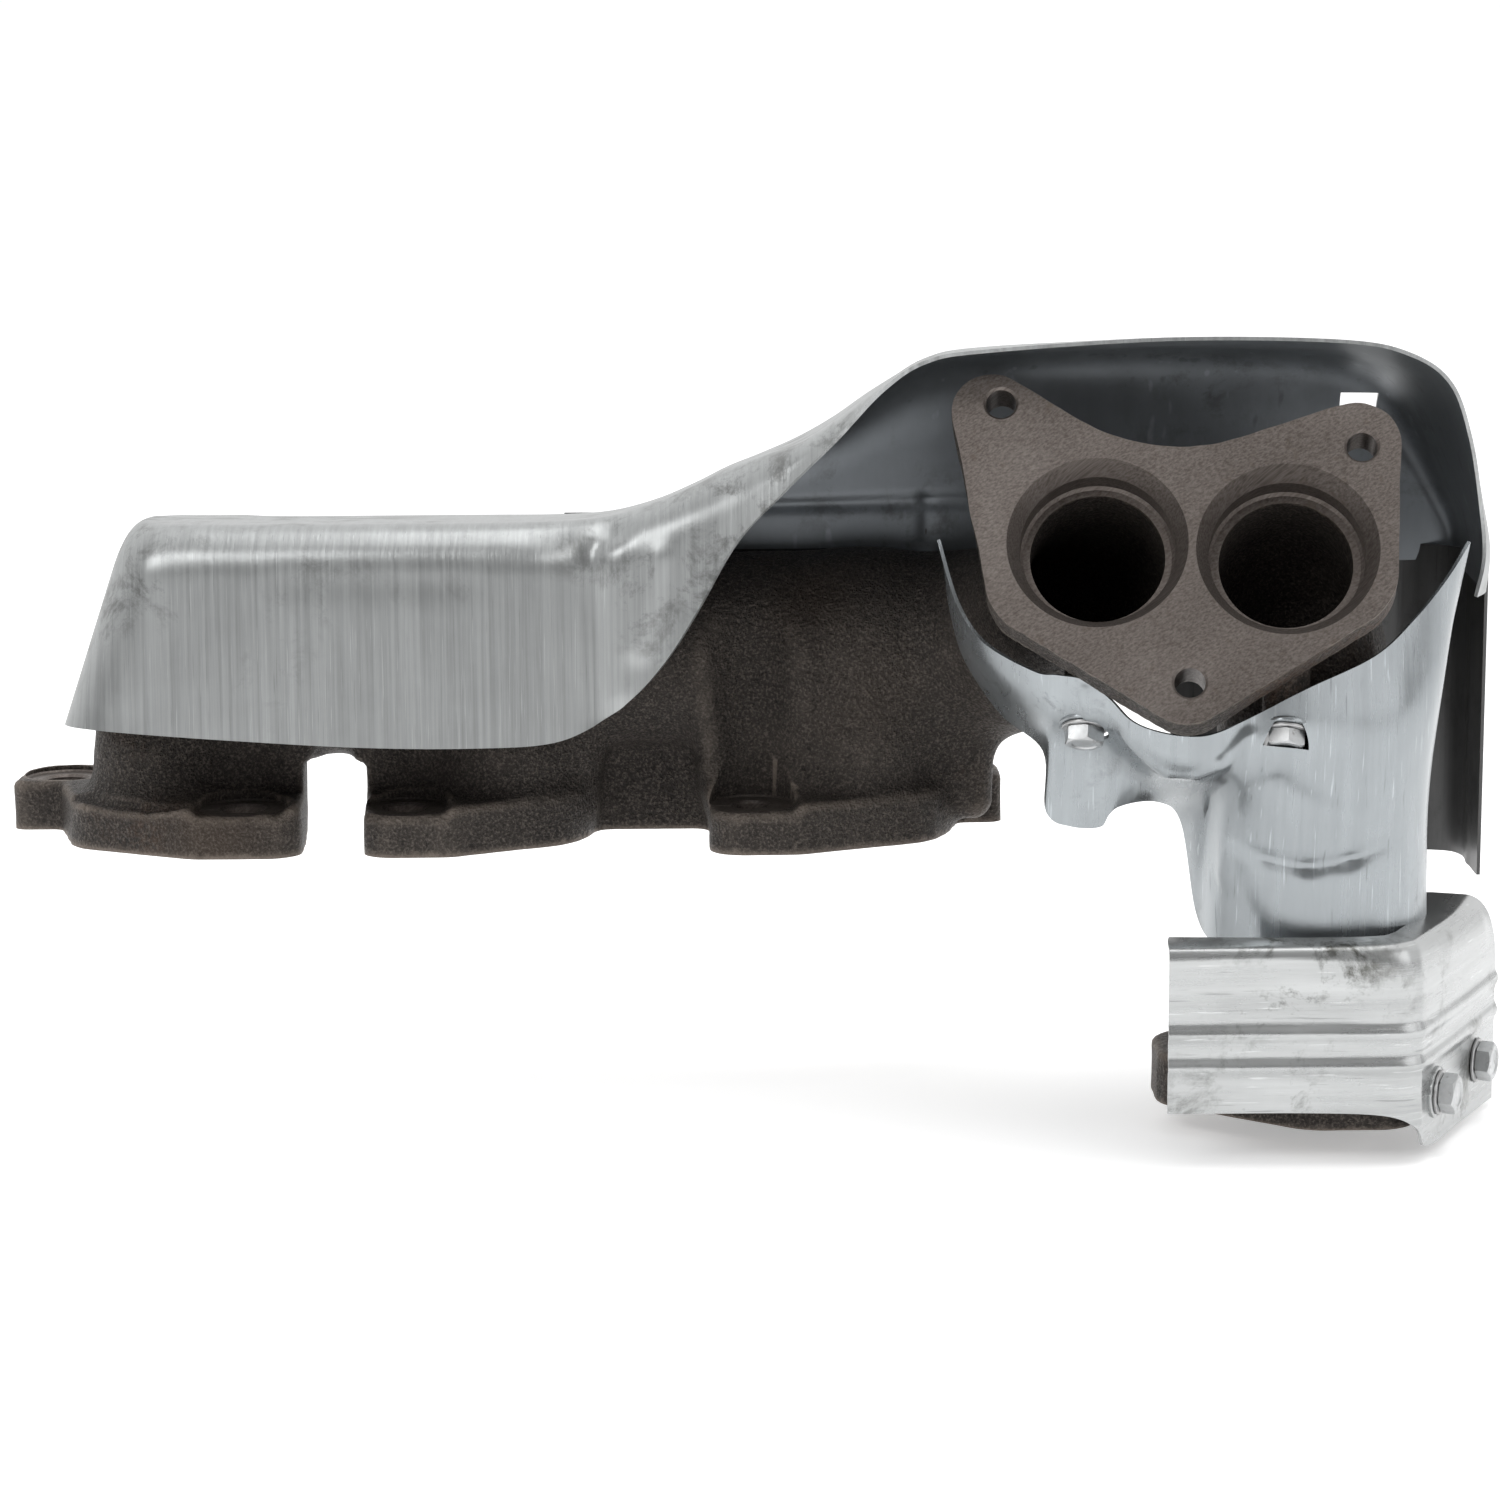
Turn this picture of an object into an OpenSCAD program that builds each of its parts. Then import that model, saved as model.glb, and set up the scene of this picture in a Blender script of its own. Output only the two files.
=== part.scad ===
// Exhaust manifold for one bank of a V6 engine: a cast log manifold with a twin outlet flange
// and a crossover inlet leg, wrapped in four pressed sheet heat shields.
// The head face is the plane z = 0 and the middle port is the origin.
// +X runs along the row of ports, +Z points away from the cylinder head.

/* [Head flanges] */
// Distance between neighbouring exhaust ports
port_pitch = 106; // [104:1:108]
// Radius of each exhaust port
port_r = 16; // [14:0.5:16]
// Thickness of the head flanges
flange_t = 15; // [13:0.5:16]
// Distance of the bolt rows from the line of ports
bolt_row_y = 24.5; // [24:0.5:26]
// Radius of the spotfaces round the front bolt holes
spotface_r = 12.7; // [12:0.1:13]

/* [Log] */
// Outer radius of the log
log_r = 30; // [29:0.5:31]
// Wall thickness of the casting
wall = 6; // [5:0.5:6.5]
// Height of the log's axis above the head face
log_z = 53; // [52:1:54]
// Distance of the log's axis behind the line of ports
log_y = 15; // [15:0.5:17]

/* [Outlet flange] */
// Centre between the two outlet bores, on the machined face
outlet_x = 194.6; // [190:0.2:198]
// Distance in front of the line of ports
outlet_y = -92; // [-95:0.5:-90]
// Height above the head face
outlet_z = 97.3; // [95:0.1:99]
// Upward tilt of the outlet face
outlet_tilt = 28; // [25:1:31]
// Turn of the outlet face about the vertical
outlet_yaw = 6; // [4:1:8]
// Clocking of the outlet face in its own plane
outlet_roll = 1.8; // [0:0.2:3]
// Distance between the two outlet bores
outlet_pitch = 52; // [51:0.5:53]
// Radius of the outlet bores' counterbores
outlet_r = 21.5; // [21:0.5:22]
// Radius of the outlet stud holes
outlet_stud_r = 4.25; // [4:0.25:5]
// Thickness of the outlet flange
outlet_t = 12; // [11:0.5:13]

/* [Crossover leg] */
// Place of the leg's axis along the row
leg_x = 232; // [230:1:234]
// Place of the leg's axis in front of the row
leg_y = -60; // [-62:1:-58]
// Height of the crossover flange's joint face
leg_face_z = -67; // [-69:1:-65]
// Radius of the leg's bore
leg_bore_r = 19; // [17:0.5:19]
// Bolt circle diameter of the crossover flange
leg_pcd = 62; // [61:0.5:64]
// Radius of the crossover flange's bolt holes
leg_hole_r = 5.25; // [4.5:0.25:5.5]

/* [Heat shields] */
// Thickness of the shield sheet
sheet_t = 1; // [0.8:0.1:1.2]
// Across-flats size of the shield bolts
bolt_af = 10; // [9:0.5:11]
// Thread diameter of the shield bolts
bolt_d = 6; // [5:0.5:6]
// Outside diameter of the captive washers
washer_d = 13; // [12.5:0.5:15]

/* [Hidden] */
$fn = 48;

CAST = "#4a423d";
SHEET = "#b9bec0";
ZINC = "#d8dadb";

passage_r = log_r - wall;
runner_r = port_r + 5;
neck_r = 25;
neck_bore_r = 18.5;
leg_r = leg_bore_r + wall;
outlet_at = [outlet_x, outlet_y, outlet_z];
leg_flange_t = 15;
knuckle = 0.2;
seam = 200;
seat_depth = 5.5;
counterbore_depth = 13;

// Head bolt holes: place along the row and hole radius. The front row is nearest to the outlet.
FRONT_HOLES = [[-78, 6.2], [-30, 6.2], [73, 5]];
REAR_HOLES = [[-140, 6.5], [30, 6.5], [136, 6.5]];
// Outlet stud holes, in the outlet face's own plane.
STUDS = [[-54.6, 40.6], [45.4, 30.9], [0.7, -39.8]];

// ---- vectors, curves and outlines ----

function unit(v) = v / norm(v);
function mix(a, b, t) = a + (b - a) * t;
function bezier(p, t) =
    len(p) == 1 ? p[0] : bezier([for (i = [0 : len(p) - 2]) mix(p[i], p[i + 1], t)], t);

// A smooth curve through four neighbouring values, between the second and the third.
function spline(a, b, c, d, t) =
    ((d - a + 3 * (b - c)) * t * t * t + (2 * a - 5 * b + 4 * c - d) * t * t + (c - a) * t) / 2 + b;

function spline_at(list, s) =
    let (n = len(list) - 1, i = min(floor(s), n - 1), t = s - i)
    spline(list[max(i - 1, 0)], list[i], list[i + 1], list[min(i + 2, n)], t);

// One corner of an outline, rounded as an arc between its two edges.
function corner(before, at, after, r, steps = 6) =
    let (
        a = unit(before - at),
        b = unit(after - at),
        half = acos(a * b) / 2,
        centre = at + unit(a + b) * r / sin(half),
        from = at + a * r / tan(half) - centre,
        to = at + b * r / tan(half) - centre,
        start = atan2(from.y, from.x),
        sweep = atan2(to.y, to.x) - start,
        turn = sweep > 180 ? sweep - 360 : sweep < -180 ? sweep + 360 : sweep
    )
    [for (i = [0 : steps]) centre + r * [cos(start + turn * i / steps), sin(start + turn * i / steps)]];

function flat(p) = [p.x, p.y];

// An outline from corners given as [x, y, radius].
function outline(p) =
    let (n = len(p))
    [for (i = [0 : n - 1]) each corner(flat(p[(i + n - 1) % n]), flat(p[i]), flat(p[(i + 1) % n]), p[i][2])];

// ---- placing ----

module at_outlet() {
    translate(outlet_at)
        rotate([0, 0, -outlet_yaw])
            rotate([90 - outlet_tilt, 0, 0])
                rotate([0, 0, -outlet_roll])
                    children();
}

// Children drawn along +Z are turned to point along dir from the point at.
module aim(at, dir) {
    d = unit(dir);
    translate(at)
        rotate([0, acos(d.z), atan2(d.y, d.x)])
            children();
}

function turn_z(p, a) = [p.x * cos(a) - p.y * sin(a), p.x * sin(a) + p.y * cos(a), p.z];
function turn_x(p, a) = [p.x, p.y * cos(a) - p.z * sin(a), p.y * sin(a) + p.z * cos(a)];

// The outlet face's own axes seen from the manifold, and points given in them.
function from_outlet(p) =
    turn_z(turn_x(turn_z(p, -outlet_roll), 90 - outlet_tilt), -outlet_yaw) + outlet_at;

// ---- the casting ----

// Straight pipes that follow the points, joined by knuckles. The seam is where each pipe's
// wall starts and ends round its axis, and is kept clear of the bosses and the flange.
module pipe(points, r) {
    last = len(points) - 1;
    for (i = [0 : last - 1])
        aim(points[i], points[i + 1] - points[i])
            rotate([0, 0, seam])
                cylinder(r = r, h = norm(points[i + 1] - points[i]));
    for (i = [1 : last - 1])
        translate(points[i])
            sphere(r = r + knuckle);
}

function runner_path(x, start) = [[x, 0, start], [x, 0, runner_r + 1], [x, log_y, log_z]];

function bend(p, steps) = [for (i = [0 : steps]) bezier(p, i / steps)];

log_start = [-94, log_y, log_z];
log_bend = [
    [108, log_y, log_z],
    [160, log_y, log_z],
    from_outlet([-outlet_pitch / 2, 0, -62]),
    from_outlet([-outlet_pitch / 2, 0, -28])
];
leg_bend = [
    from_outlet([outlet_pitch / 2, 0, -28]),
    from_outlet([outlet_pitch / 2, 0, -48]),
    [leg_x, leg_y, 66],
    [leg_x, leg_y, 32]
];

log_end = log_bend[0];
function neck_path(depth) =
    concat(bend(log_bend, 6), [from_outlet([-outlet_pitch / 2, 0, -depth])]);

function leg_path(depth, end_z) =
    concat([from_outlet([outlet_pitch / 2, 0, -depth])], bend(leg_bend, 5), [[leg_x, leg_y, end_z]]);

// One head flange, with its front lug on the left and its rear lug on the right of the port.
function head_outline(front, rear, margin, shoulder) = outline([
    [-front - margin, -37.5, 10], [-front + 14, -37.5, 16],
    [shoulder - 9, -19, 16], [shoulder, 10, 4],
    [rear + 14, 10, 4], [rear + 14, 40, 13], [rear - 15, 40, 12], [-14, 27, 20],
    [-front - margin, 6, 12]
]);

module head_flange(k) {
    x = (k - 1) * port_pitch;
    side = k == 0 ? -1 : 1;
    front = abs(FRONT_HOLES[k][0] - x);
    rear = abs(REAR_HOLES[k][0] - x);
    translate([x, 0, 0])
        mirror([side < 0 ? 1 : 0, 0, 0])
            linear_extrude(flange_t)
                polygon(head_outline(front, rear, k == 0 ? 18 : 12.5, [33, 27, 30][k]));
}

// Solid saddles between the head flanges and the log, and the thin wall that ties the
// middle and right flanges together.
module saddles() {
    front = -9;
    for (x = [[-124, -61], [-46, 26], [61, 146]])
        translate([x[0], front, 5])
            cube([x[1] - x[0], x[1] > 100 ? 18 : 24, log_z - 8]);
    translate([22, 5.5, 0])
        cube([46, 6.5, log_z - 20]);
}

module outlet_plate() {
    translate([0, 0, -outlet_t])
        linear_extrude(outlet_t)
            polygon(outline([
                [-74, 61, 11], [-11, 23.7, 50], [56, 49.6, 12.5], [56, -15, 18],
                [0.7, -54, 13], [-54, -22.5, 18]
            ]));
}

module crossover_plate() {
    r = leg_pcd / 2;
    lug = 11.5;
    reach = 2 * (r + lug);
    translate([leg_x, leg_y, leg_face_z])
        linear_extrude(leg_flange_t)
            polygon(outline([
                [-r - lug, lug, 10], [-r - lug, -lug, 10],
                [-4, -reach / 2 + 2, 16], [reach / 2 - 16, -reach / 2 + 2, 12],
                [reach / 2 - 10, 0, 30],
                [reach / 2 - 16, reach / 2 - 2, 12], [-4, reach / 2 - 2, 16]
            ]));
}

// Places of the shield bolts: seat point of the head's washer, and the way the head points.
face_dir = unit([62, -31, 0]);
HEM_Y = 28;
REAR_Y = 30.2;
UPPER_LEFT = [[-72, HEM_Y + 1.1, 87.5], [0, 1, 0]];
UPPER_RIGHT = [[-5, HEM_Y + 1.1, 87.5], [0, 1, 0]];
REAR_LEFT = [[48, REAR_Y + 0.1, 88.5], [0, 1, 0]];
REAR_RIGHT = [[216, REAR_Y + 0.1, 47], [0, 1, 0]];
OUTLET_LEFT = [from_outlet([-27.5, -45.5, -24]), from_outlet([0, -1, 0]) - outlet_at];
OUTLET_RIGHT = [[219.9, -98.5, 47], from_outlet([0, -1, 0]) - outlet_at];
FLANGE_FRONT = [[266, -93.5, -58], face_dir];
FLANGE_REAR = [[283.3, -59, -58], face_dir];

// A cast boss that ends just under the sheet a bolt holds down, drilled for the bolt.
module boss(place, h, r = 6.5) {
    gap = sheet_t + 0.3;
    aim(place[0] - place[1] * (h + gap), place[1])
        cylinder(r = r, h = h);
}

// A lug on the back of the log that carries the hem of the upper shield.
module shield_lug(x, top) {
    w = 13;
    front = log_y + 1;
    translate([x - w / 2, front, 66])
        cube([w, HEM_Y - 0.4 - front, top - 66]);
}

module boss_hole(place, depth = 15) {
    aim(place[0] - place[1] * depth, place[1])
        cylinder(d = bolt_d + 0.2, h = depth);
}

module manifold_casting() {
    over = 1;
    color(CAST) difference() {
        union() {
            for (k = [0 : 2])
                head_flange(k);
            saddles();
            for (k = [-1 : 1])
                pipe(runner_path(k * port_pitch, 2), runner_r);
            pipe([log_start, log_end], log_r);
            pipe(neck_path(2), neck_r);
            for (p = [log_start, log_end])
                translate(p) sphere(r = log_r + knuckle);
            pipe(leg_path(2, leg_face_z + 2), leg_r);
            at_outlet() outlet_plate();
            crossover_plate();
            for (p = [UPPER_LEFT, UPPER_RIGHT, REAR_LEFT])
                shield_lug(p[0].x, p[0].z + 6.5);
            boss(REAR_RIGHT, 68);
            boss(OUTLET_LEFT, 24);
            boss(OUTLET_RIGHT, 24);
            boss(FLANGE_FRONT, 20, 5.5);
            boss(FLANGE_REAR, 24, 5.5);
        }
        // gas passages
        for (k = [-1 : 1])
            pipe(runner_path(k * port_pitch, -over), port_r);
        pipe([log_start, log_end], passage_r);
        pipe(neck_path(0), neck_bore_r);
        for (p = [log_start, log_end])
            translate(p) sphere(r = passage_r + knuckle);
        pipe(leg_path(0, leg_face_z - over), leg_bore_r);
        // outlet seats and stud holes
        at_outlet() {
            for (side = [-1, 1])
                translate([side * outlet_pitch / 2, 0, 0]) {
                    translate([0, 0, -counterbore_depth])
                        cylinder(r = outlet_r, h = counterbore_depth + over);
                    translate([0, 0, -seat_depth])
                        cylinder(r1 = outlet_r, r2 = outlet_r + 4, h = seat_depth + over);
                }
            for (p = STUDS)
                translate([p.x, p.y, -outlet_t - over])
                    cylinder(r = outlet_stud_r, h = outlet_t + 2 * over);
        }
        // head bolt holes, with spotfaces and socket room over the front row
        for (h = FRONT_HOLES)
            translate([h[0], -bolt_row_y, 0]) {
                translate([0, 0, -over]) cylinder(r = h[1], h = flange_t + over + 1);
                translate([0, 0, flange_t - 1.5]) cylinder(r = spotface_r, h = 90);
            }
        for (h = REAR_HOLES)
            translate([h[0], bolt_row_y, 0]) {
                translate([0, 0, -over]) cylinder(r = h[1], h = flange_t + 2 * over);
                translate([0, 0, flange_t - 1.5]) cylinder(r = spotface_r - 0.2, h = 4);
            }
        // crossover bolt holes
        for (a = [60, 180, 300])
            translate([leg_x + leg_pcd / 2 * cos(a), leg_y + leg_pcd / 2 * sin(a), leg_face_z - over])
                cylinder(r = leg_hole_r, h = leg_flange_t + 2 * over);
        for (p = [UPPER_LEFT, UPPER_RIGHT, REAR_LEFT, REAR_RIGHT])
            boss_hole(p);
        for (p = [OUTLET_LEFT, OUTLET_RIGHT])
            boss_hole(p);
        for (p = [FLANGE_FRONT, FLANGE_REAR])
            boss_hole(p, 10);
    }
}

// ---- pressed sheets ----

// A section across a pressed sheet: straight runs between four control points, with the
// two middle ones rounded off over the lengths round1 and round2.
function section(p, round1, round2) =
    let (
        a = mix(p[1], p[0], min(0.45, round1 / norm(p[0] - p[1]))),
        b = mix(p[1], p[2], min(0.45, round1 / norm(p[2] - p[1]))),
        c = mix(p[2], p[1], min(0.45, round2 / norm(p[1] - p[2]))),
        d = mix(p[2], p[3], min(0.45, round2 / norm(p[3] - p[2])))
    )
    concat(
        [p[0], mix(p[0], a, 0.5)],
        [for (t = [0 : 0.25 : 1]) bezier([a, p[1], b], t)],
        [mix(b, c, 0.5)],
        [for (t = [0 : 0.25 : 1]) bezier([c, p[2], d], t)],
        [mix(d, p[3], 0.5), p[3]]
    );

// A sheet of thickness t through rows of points. Its second face lies on the side that the
// rows' and sections' directions turn to by the right-hand rule.
module sheet(rows, t) {
    n = len(rows);
    m = len(rows[0]);
    function normal(i, j) =
        let (
            along = rows[min(i + 1, n - 1)][j] - rows[max(i - 1, 0)][j],
            across = rows[i][min(j + 1, m - 1)] - rows[i][max(j - 1, 0)]
        )
        unit(cross(along, across));
    front = [for (i = [0 : n - 1]) each rows[i]];
    back = [for (i = [0 : n - 1]) for (j = [0 : m - 1]) rows[i][j] + normal(i, j) * t];
    size = n * m;
    function at(i, j) = i * m + j;
    polyhedron(
        points = concat(front, back),
        faces = concat(
            [for (i = [0 : n - 2]) for (j = [0 : m - 2]) each [
                [at(i, j), at(i + 1, j), at(i + 1, j + 1)],
                [at(i, j), at(i + 1, j + 1), at(i, j + 1)],
                [size + at(i, j), size + at(i + 1, j + 1), size + at(i + 1, j)],
                [size + at(i, j), size + at(i, j + 1), size + at(i + 1, j + 1)]
            ]],
            [for (i = [0 : n - 2]) each [
                [at(i, 0), size + at(i + 1, 0), at(i + 1, 0)],
                [at(i, 0), size + at(i, 0), size + at(i + 1, 0)],
                [at(i, m - 1), at(i + 1, m - 1), size + at(i + 1, m - 1)],
                [at(i, m - 1), size + at(i + 1, m - 1), size + at(i, m - 1)]
            ]],
            [for (j = [0 : m - 2]) each [
                [at(0, j), at(0, j + 1), size + at(0, j + 1)],
                [at(0, j), size + at(0, j + 1), size + at(0, j)],
                [at(n - 1, j), size + at(n - 1, j + 1), at(n - 1, j + 1)],
                [at(n - 1, j), size + at(n - 1, j), size + at(n - 1, j + 1)]
            ]]
        )
    );
}

// Sections of a sheet from its key stations, with further stations drawn between the keys.
// A key holds the section's four control points and the lengths of its two rounded bends.
function sheet_rows(keys, step) =
    [for (s = [0 : step : len(keys) - 1])
        let (key = [for (c = [0 : 4]) spline_at([for (k = keys) k[c]], s)])
        section(key, max(key[4].x, 1), max(key[4].y, 1))];

// Upper shield stations, left to right: free edge, front bend, rear bend and rear hem.
UPPER_KEYS = [
    [[-131, 24, 33], [-112, 24, 94], [-108, 28, 93.5], [-107, 28, 82], [14, 3]],
    [[-130, -8, 37], [-110, -6, 97], [-101, 28, 94], [-100, 28, 82], [14, 5]],
    [[-128, -30, 39], [-108, -27, 98], [-95, 28, 94], [-94, 28, 81.5], [14, 5]],
    [[-119, -43, 40], [-101, -39, 98], [-89, 28, 94], [-88, 28, 81], [14, 5]],
    [[-103, -46, 39], [-89, -42, 98], [-82, 28, 94], [-81, 28, 81], [14, 5]],
    [[-75, -47, 37], [-70, -43, 98], [-68, 28, 93.5], [-67, 28, 81], [14, 5]],
    [[-40, -48, 35], [-38, -44, 98], [-38, 28, 93.5], [-37, 28, 81], [14, 5]],
    [[-8, -48, 34.5], [-7, -44, 98], [-7, 28, 93.5], [-7, 28, 81], [14, 5]],
    [[16, -48, 36], [15, -44, 98.5], [15, 28, 93.5], [15, 28, 81], [14, 5]],
    [[31, -49, 43], [31, -46, 100], [31, 28, 94.5], [31, 28, 82], [14, 5]],
    [[42, -51, 52], [45, -48, 104], [45, 28, 98], [45, 28, 82.5], [14, 6]],
    [[51, -53, 63], [57, -50, 109], [57, 28, 103], [57, 28, 83], [14, 8]],
    [[59, -55, 76], [67, -52, 114], [67, 28, 108], [67, 28, 83], [14, 12]],
    [[70, -57, 95], [77, -54, 118], [77, 28, 112], [77, 28, 83], [12, 14]],
    [[84, -60, 110], [88, -57, 122], [88, 28, 117], [88, 28, 83], [10, 16]],
    [[98, -63, 124], [99, -58, 129], [99, 28, 123], [99, 28, 83], [8, 18]],
    [[111, -66, 138], [111, -58, 138], [111, 28, 131], [111, 28, 82.5], [8, 20]],
    [[123, -69, 146], [123, -58, 146], [123, 28, 137], [123, 28, 82], [10, 22]],
    [[140, -72, 149], [140, -56, 149], [140, 28, 141], [140, 28, 81], [14, 24]],
    [[190, -74, 152], [190, -54, 151], [190, 28, 143], [190, 28, 79], [14, 24]],
    [[238, -74, 151], [238, -54, 150], [236, 28, 142], [236, 28, 78], [14, 24]],
    [[257, -74, 147], [258, -54, 147], [254, 28, 139], [254, 28, 78], [14, 24]],
    [[268, -73, 139], [270, -52, 139], [266, 28, 132], [266, 28, 78], [14, 20]],
    [[274, -71, 124], [277, -50, 124], [276, 27, 119], [275, 28, 78], [14, 16]],
    [[278, -67, 106], [282, -48, 106], [284, 26, 104], [283, 28, 78], [12, 12]],
    [[281, -60, 90], [286, -44, 90], [290, 24, 90], [288, 28, 78], [8, 8]],
    [[281, -50, 77], [286, -40, 77], [291, 22, 77], [290, 27, 77], [6, 3]]
];

// Outlet shield stations, left tip to right tip: upper edge, bend, waist and lower edge.
OUTLET_KEYS = [
    [[127, -62, 96], [129, -59, 89], [130, -54, 82], [131, -48, 76], [5, 5]],
    [[132, -69, 79], [133, -66, 72], [134, -60, 66], [135, -52, 61], [6, 6]],
    [[139, -78, 69], [141, -75, 60], [143, -68, 53], [145, -59, 46], [8, 6]],
    [[152, -90, 62.5], [154, -89, 52], [155, -80, 45], [156.5, -72, 37], [8, 6]],
    [[158, -94, 62], [159, -93, 52], [159, -82, 44], [157, -76, 20], [7, 6]],
    [[165, -97, 61], [166, -96, 51], [166, -80, 42], [163, -76, 16], [6, 7]],
    [[172, -99, 56], [173, -98, 49], [173, -82, 40], [172, -76, 16], [6, 8]],
    [[178, -101, 50], [178, -100, 44], [178, -84, 37], [176, -78, 22], [6, 8]],
    [[186, -102, 47], [186, -100, 38], [188, -84, 29], [188, -74, 23], [8, 8]],
    [[195, -102, 46], [197, -99, 35], [199, -82, 26], [197, -62, 14], [9, 10]],
    [[201, -102, 47], [203, -100, 35], [203, -74, 20], [202, -60, -13], [9, 12]],
    [[208, -102, 50], [209, -102, 38], [207, -84, 16], [206, -76, -19], [9, 14]],
    [[216, -102, 54], [217, -103, 43], [216, -90, 16], [217, -88, -20], [9, 16]],
    [[226, -101, 59], [228, -102, 44], [231, -93, 13], [232, -92, -21], [9, 16]],
    [[245, -92, 66], [246, -96, 45], [248, -90, 13], [248, -89, -21], [9, 16]],
    [[257, -84, 75], [259, -87, 50], [259, -80, 14], [259, -80, -19], [9, 16]],
    [[267, -76, 85], [267, -76, 60], [264, -70, 22], [265, -69, -16], [9, 16]],
    [[275, -68, 95], [271, -64, 70], [266, -57, 32], [266, -57, -13], [9, 16]]
];

// Flange shield stations, left edge to right rear edge: lower edge, shoulder, top and rim.
FLANGE_KEYS = [
    [[188, -106, -60], [188, -106, -14], [188, -101, -13], [189, -96, -13], [3, 2]],
    [[225, -106, -60], [225, -106, -14], [225, -101, -13], [225, -98, -13], [3, 2]],
    [[248, -106, -61], [248, -106, -14], [247, -99, -13], [246, -97, -13], [6, 2]],
    [[257, -104.5, -65], [256, -104, -14], [254, -95, -13], [252, -93, -13], [12, 2]],
    [[261, -99, -72], [261, -98, -14], [257, -88, -13], [256, -86, -13], [16, 2]],
    [[276, -71, -73], [276, -71, -14], [268, -66, -13], [266.5, -65, -13], [16, 2]],
    [[291, -42, -74], [291, -42, -14], [272, -40, -13], [266.5, -43, -13], [20, 2]]
];

// A flat pad pressed into a sheet under a washer, or the clearance for it.
module pad(place, r = washer_d / 2 + 0.6, above = 0, below = 1) {
    aim(place[0] - place[1] * (below + 0.05), place[1])
        cylinder(r = r, h = above + below);
}

// A pressed sheet with a flat drilled pad under each of its washers.
module padded_sheet(keys, places) {
    difference() {
        union() {
            difference() {
                sheet(sheet_rows(keys, 0.5), sheet_t);
                for (p = places)
                    pad(p, washer_d / 2, 6, 6);
            }
            for (p = places)
                pad(p, below = sheet_t + 0.2);
        }
        for (p = places)
            boss_hole([p[0] + p[1] * 2, p[1]]);
    }
}

module upper_heat_shield() {
    color(SHEET) difference() {
        padded_sheet(UPPER_KEYS, [UPPER_LEFT, UPPER_RIGHT]);
        translate([254, 20, 121]) cube([11, 20, 9]);
        boss_hole([REAR_LEFT[0] + REAR_LEFT[1], REAR_LEFT[1]]);
    }
}

module outlet_heat_shield() {
    right_to_left = [for (i = [len(OUTLET_KEYS) - 1 : -1 : 0]) OUTLET_KEYS[i]];
    color(SHEET) padded_sheet(right_to_left, [OUTLET_LEFT, OUTLET_RIGHT]);
}

// Back panel: a strip behind the log and a deep apron that turns round the crossover leg.
module rear_heat_shield() {
    strip_x = 16;
    apron_x = 204;
    right = 293;
    front = REAR_Y - sheet_t;
    side_y = -12;
    bend_r = 20;
    color(SHEET) difference() {
        union() {
            translate([strip_x, front, 81.5]) cube([right - bend_r - strip_x, sheet_t, 13]);
            translate([apron_x, front, -13]) cube([right - bend_r - apron_x, sheet_t, 96]);
            translate([right - sheet_t, side_y, -13])
                cube([sheet_t, REAR_Y - bend_r - side_y, 90]);
            translate([right - bend_r, REAR_Y - bend_r, -13])
                rotate_extrude(angle = 90) translate([bend_r - sheet_t, 0]) square([sheet_t, 90]);
        }
        for (p = [REAR_LEFT, REAR_RIGHT])
            boss_hole([p[0] + p[1], p[1]]);
    }
}

// Box over the crossover flange: a front wall, a slanted right wall and a rounded shoulder.
module crossover_flange_shield() {
    slot = 10;
    color(SHEET) difference() {
        padded_sheet(FLANGE_KEYS, [FLANGE_FRONT, FLANGE_REAR]);
        aim([274.5, -77, -64], face_dir) translate([0, 0, -5]) hull() {
            cylinder(r = 2, h = 10);
            translate([slot - 4, 0, 0]) cylinder(r = 2, h = 10);
        }
    }
}

// ---- fasteners ----

module bolt(place, shank = 12) {
    washer_t = 1.2;
    head_h = 4.5;
    color(ZINC) {
        aim(place[0] + place[1] * washer_t, place[1])
            cylinder(d = bolt_af / cos(30), h = head_h, $fn = 6);
        aim(place[0] - place[1] * shank, place[1])
            cylinder(d = bolt_d, h = shank + washer_t);
    }
}

module washer(place) {
    color(ZINC) aim(place[0] + place[1] * 0.05, place[1]) difference() {
        cylinder(d = washer_d, h = 1.1);
        translate([0, 0, -1]) cylinder(d = bolt_d + 0.4, h = 4);
    }
}

manifold_casting();
upper_heat_shield();
rear_heat_shield();
outlet_heat_shield();
crossover_flange_shield();
bolt(UPPER_LEFT);  // upper_shield_bolt_left
washer(UPPER_LEFT);  // upper_shield_washer_left
bolt(UPPER_RIGHT);  // upper_shield_bolt_right
washer(UPPER_RIGHT);  // upper_shield_washer_right
bolt(REAR_LEFT);  // rear_shield_bolt_left
washer(REAR_LEFT);  // rear_shield_washer_left
bolt(REAR_RIGHT);  // rear_shield_bolt_right
washer(REAR_RIGHT);  // rear_shield_washer_right
bolt(OUTLET_LEFT);  // outlet_shield_bolt_left
washer(OUTLET_LEFT);  // outlet_shield_washer_left
bolt(OUTLET_RIGHT);  // outlet_shield_bolt_right
washer(OUTLET_RIGHT);  // outlet_shield_washer_right
bolt(FLANGE_FRONT, 8);  // flange_shield_bolt_front
washer(FLANGE_FRONT);  // flange_shield_washer_front
bolt(FLANGE_REAR, 8);  // flange_shield_bolt_rear
washer(FLANGE_REAR);  // flange_shield_washer_rear
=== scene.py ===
"""Looks of the exhaust manifold: a sand-cast body, four pressed sheet shields and their bolts."""

import math
from contextlib import contextmanager

import bmesh
import bpy
import numpy as np
import openvdb
from mathutils import Matrix, Vector


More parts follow.
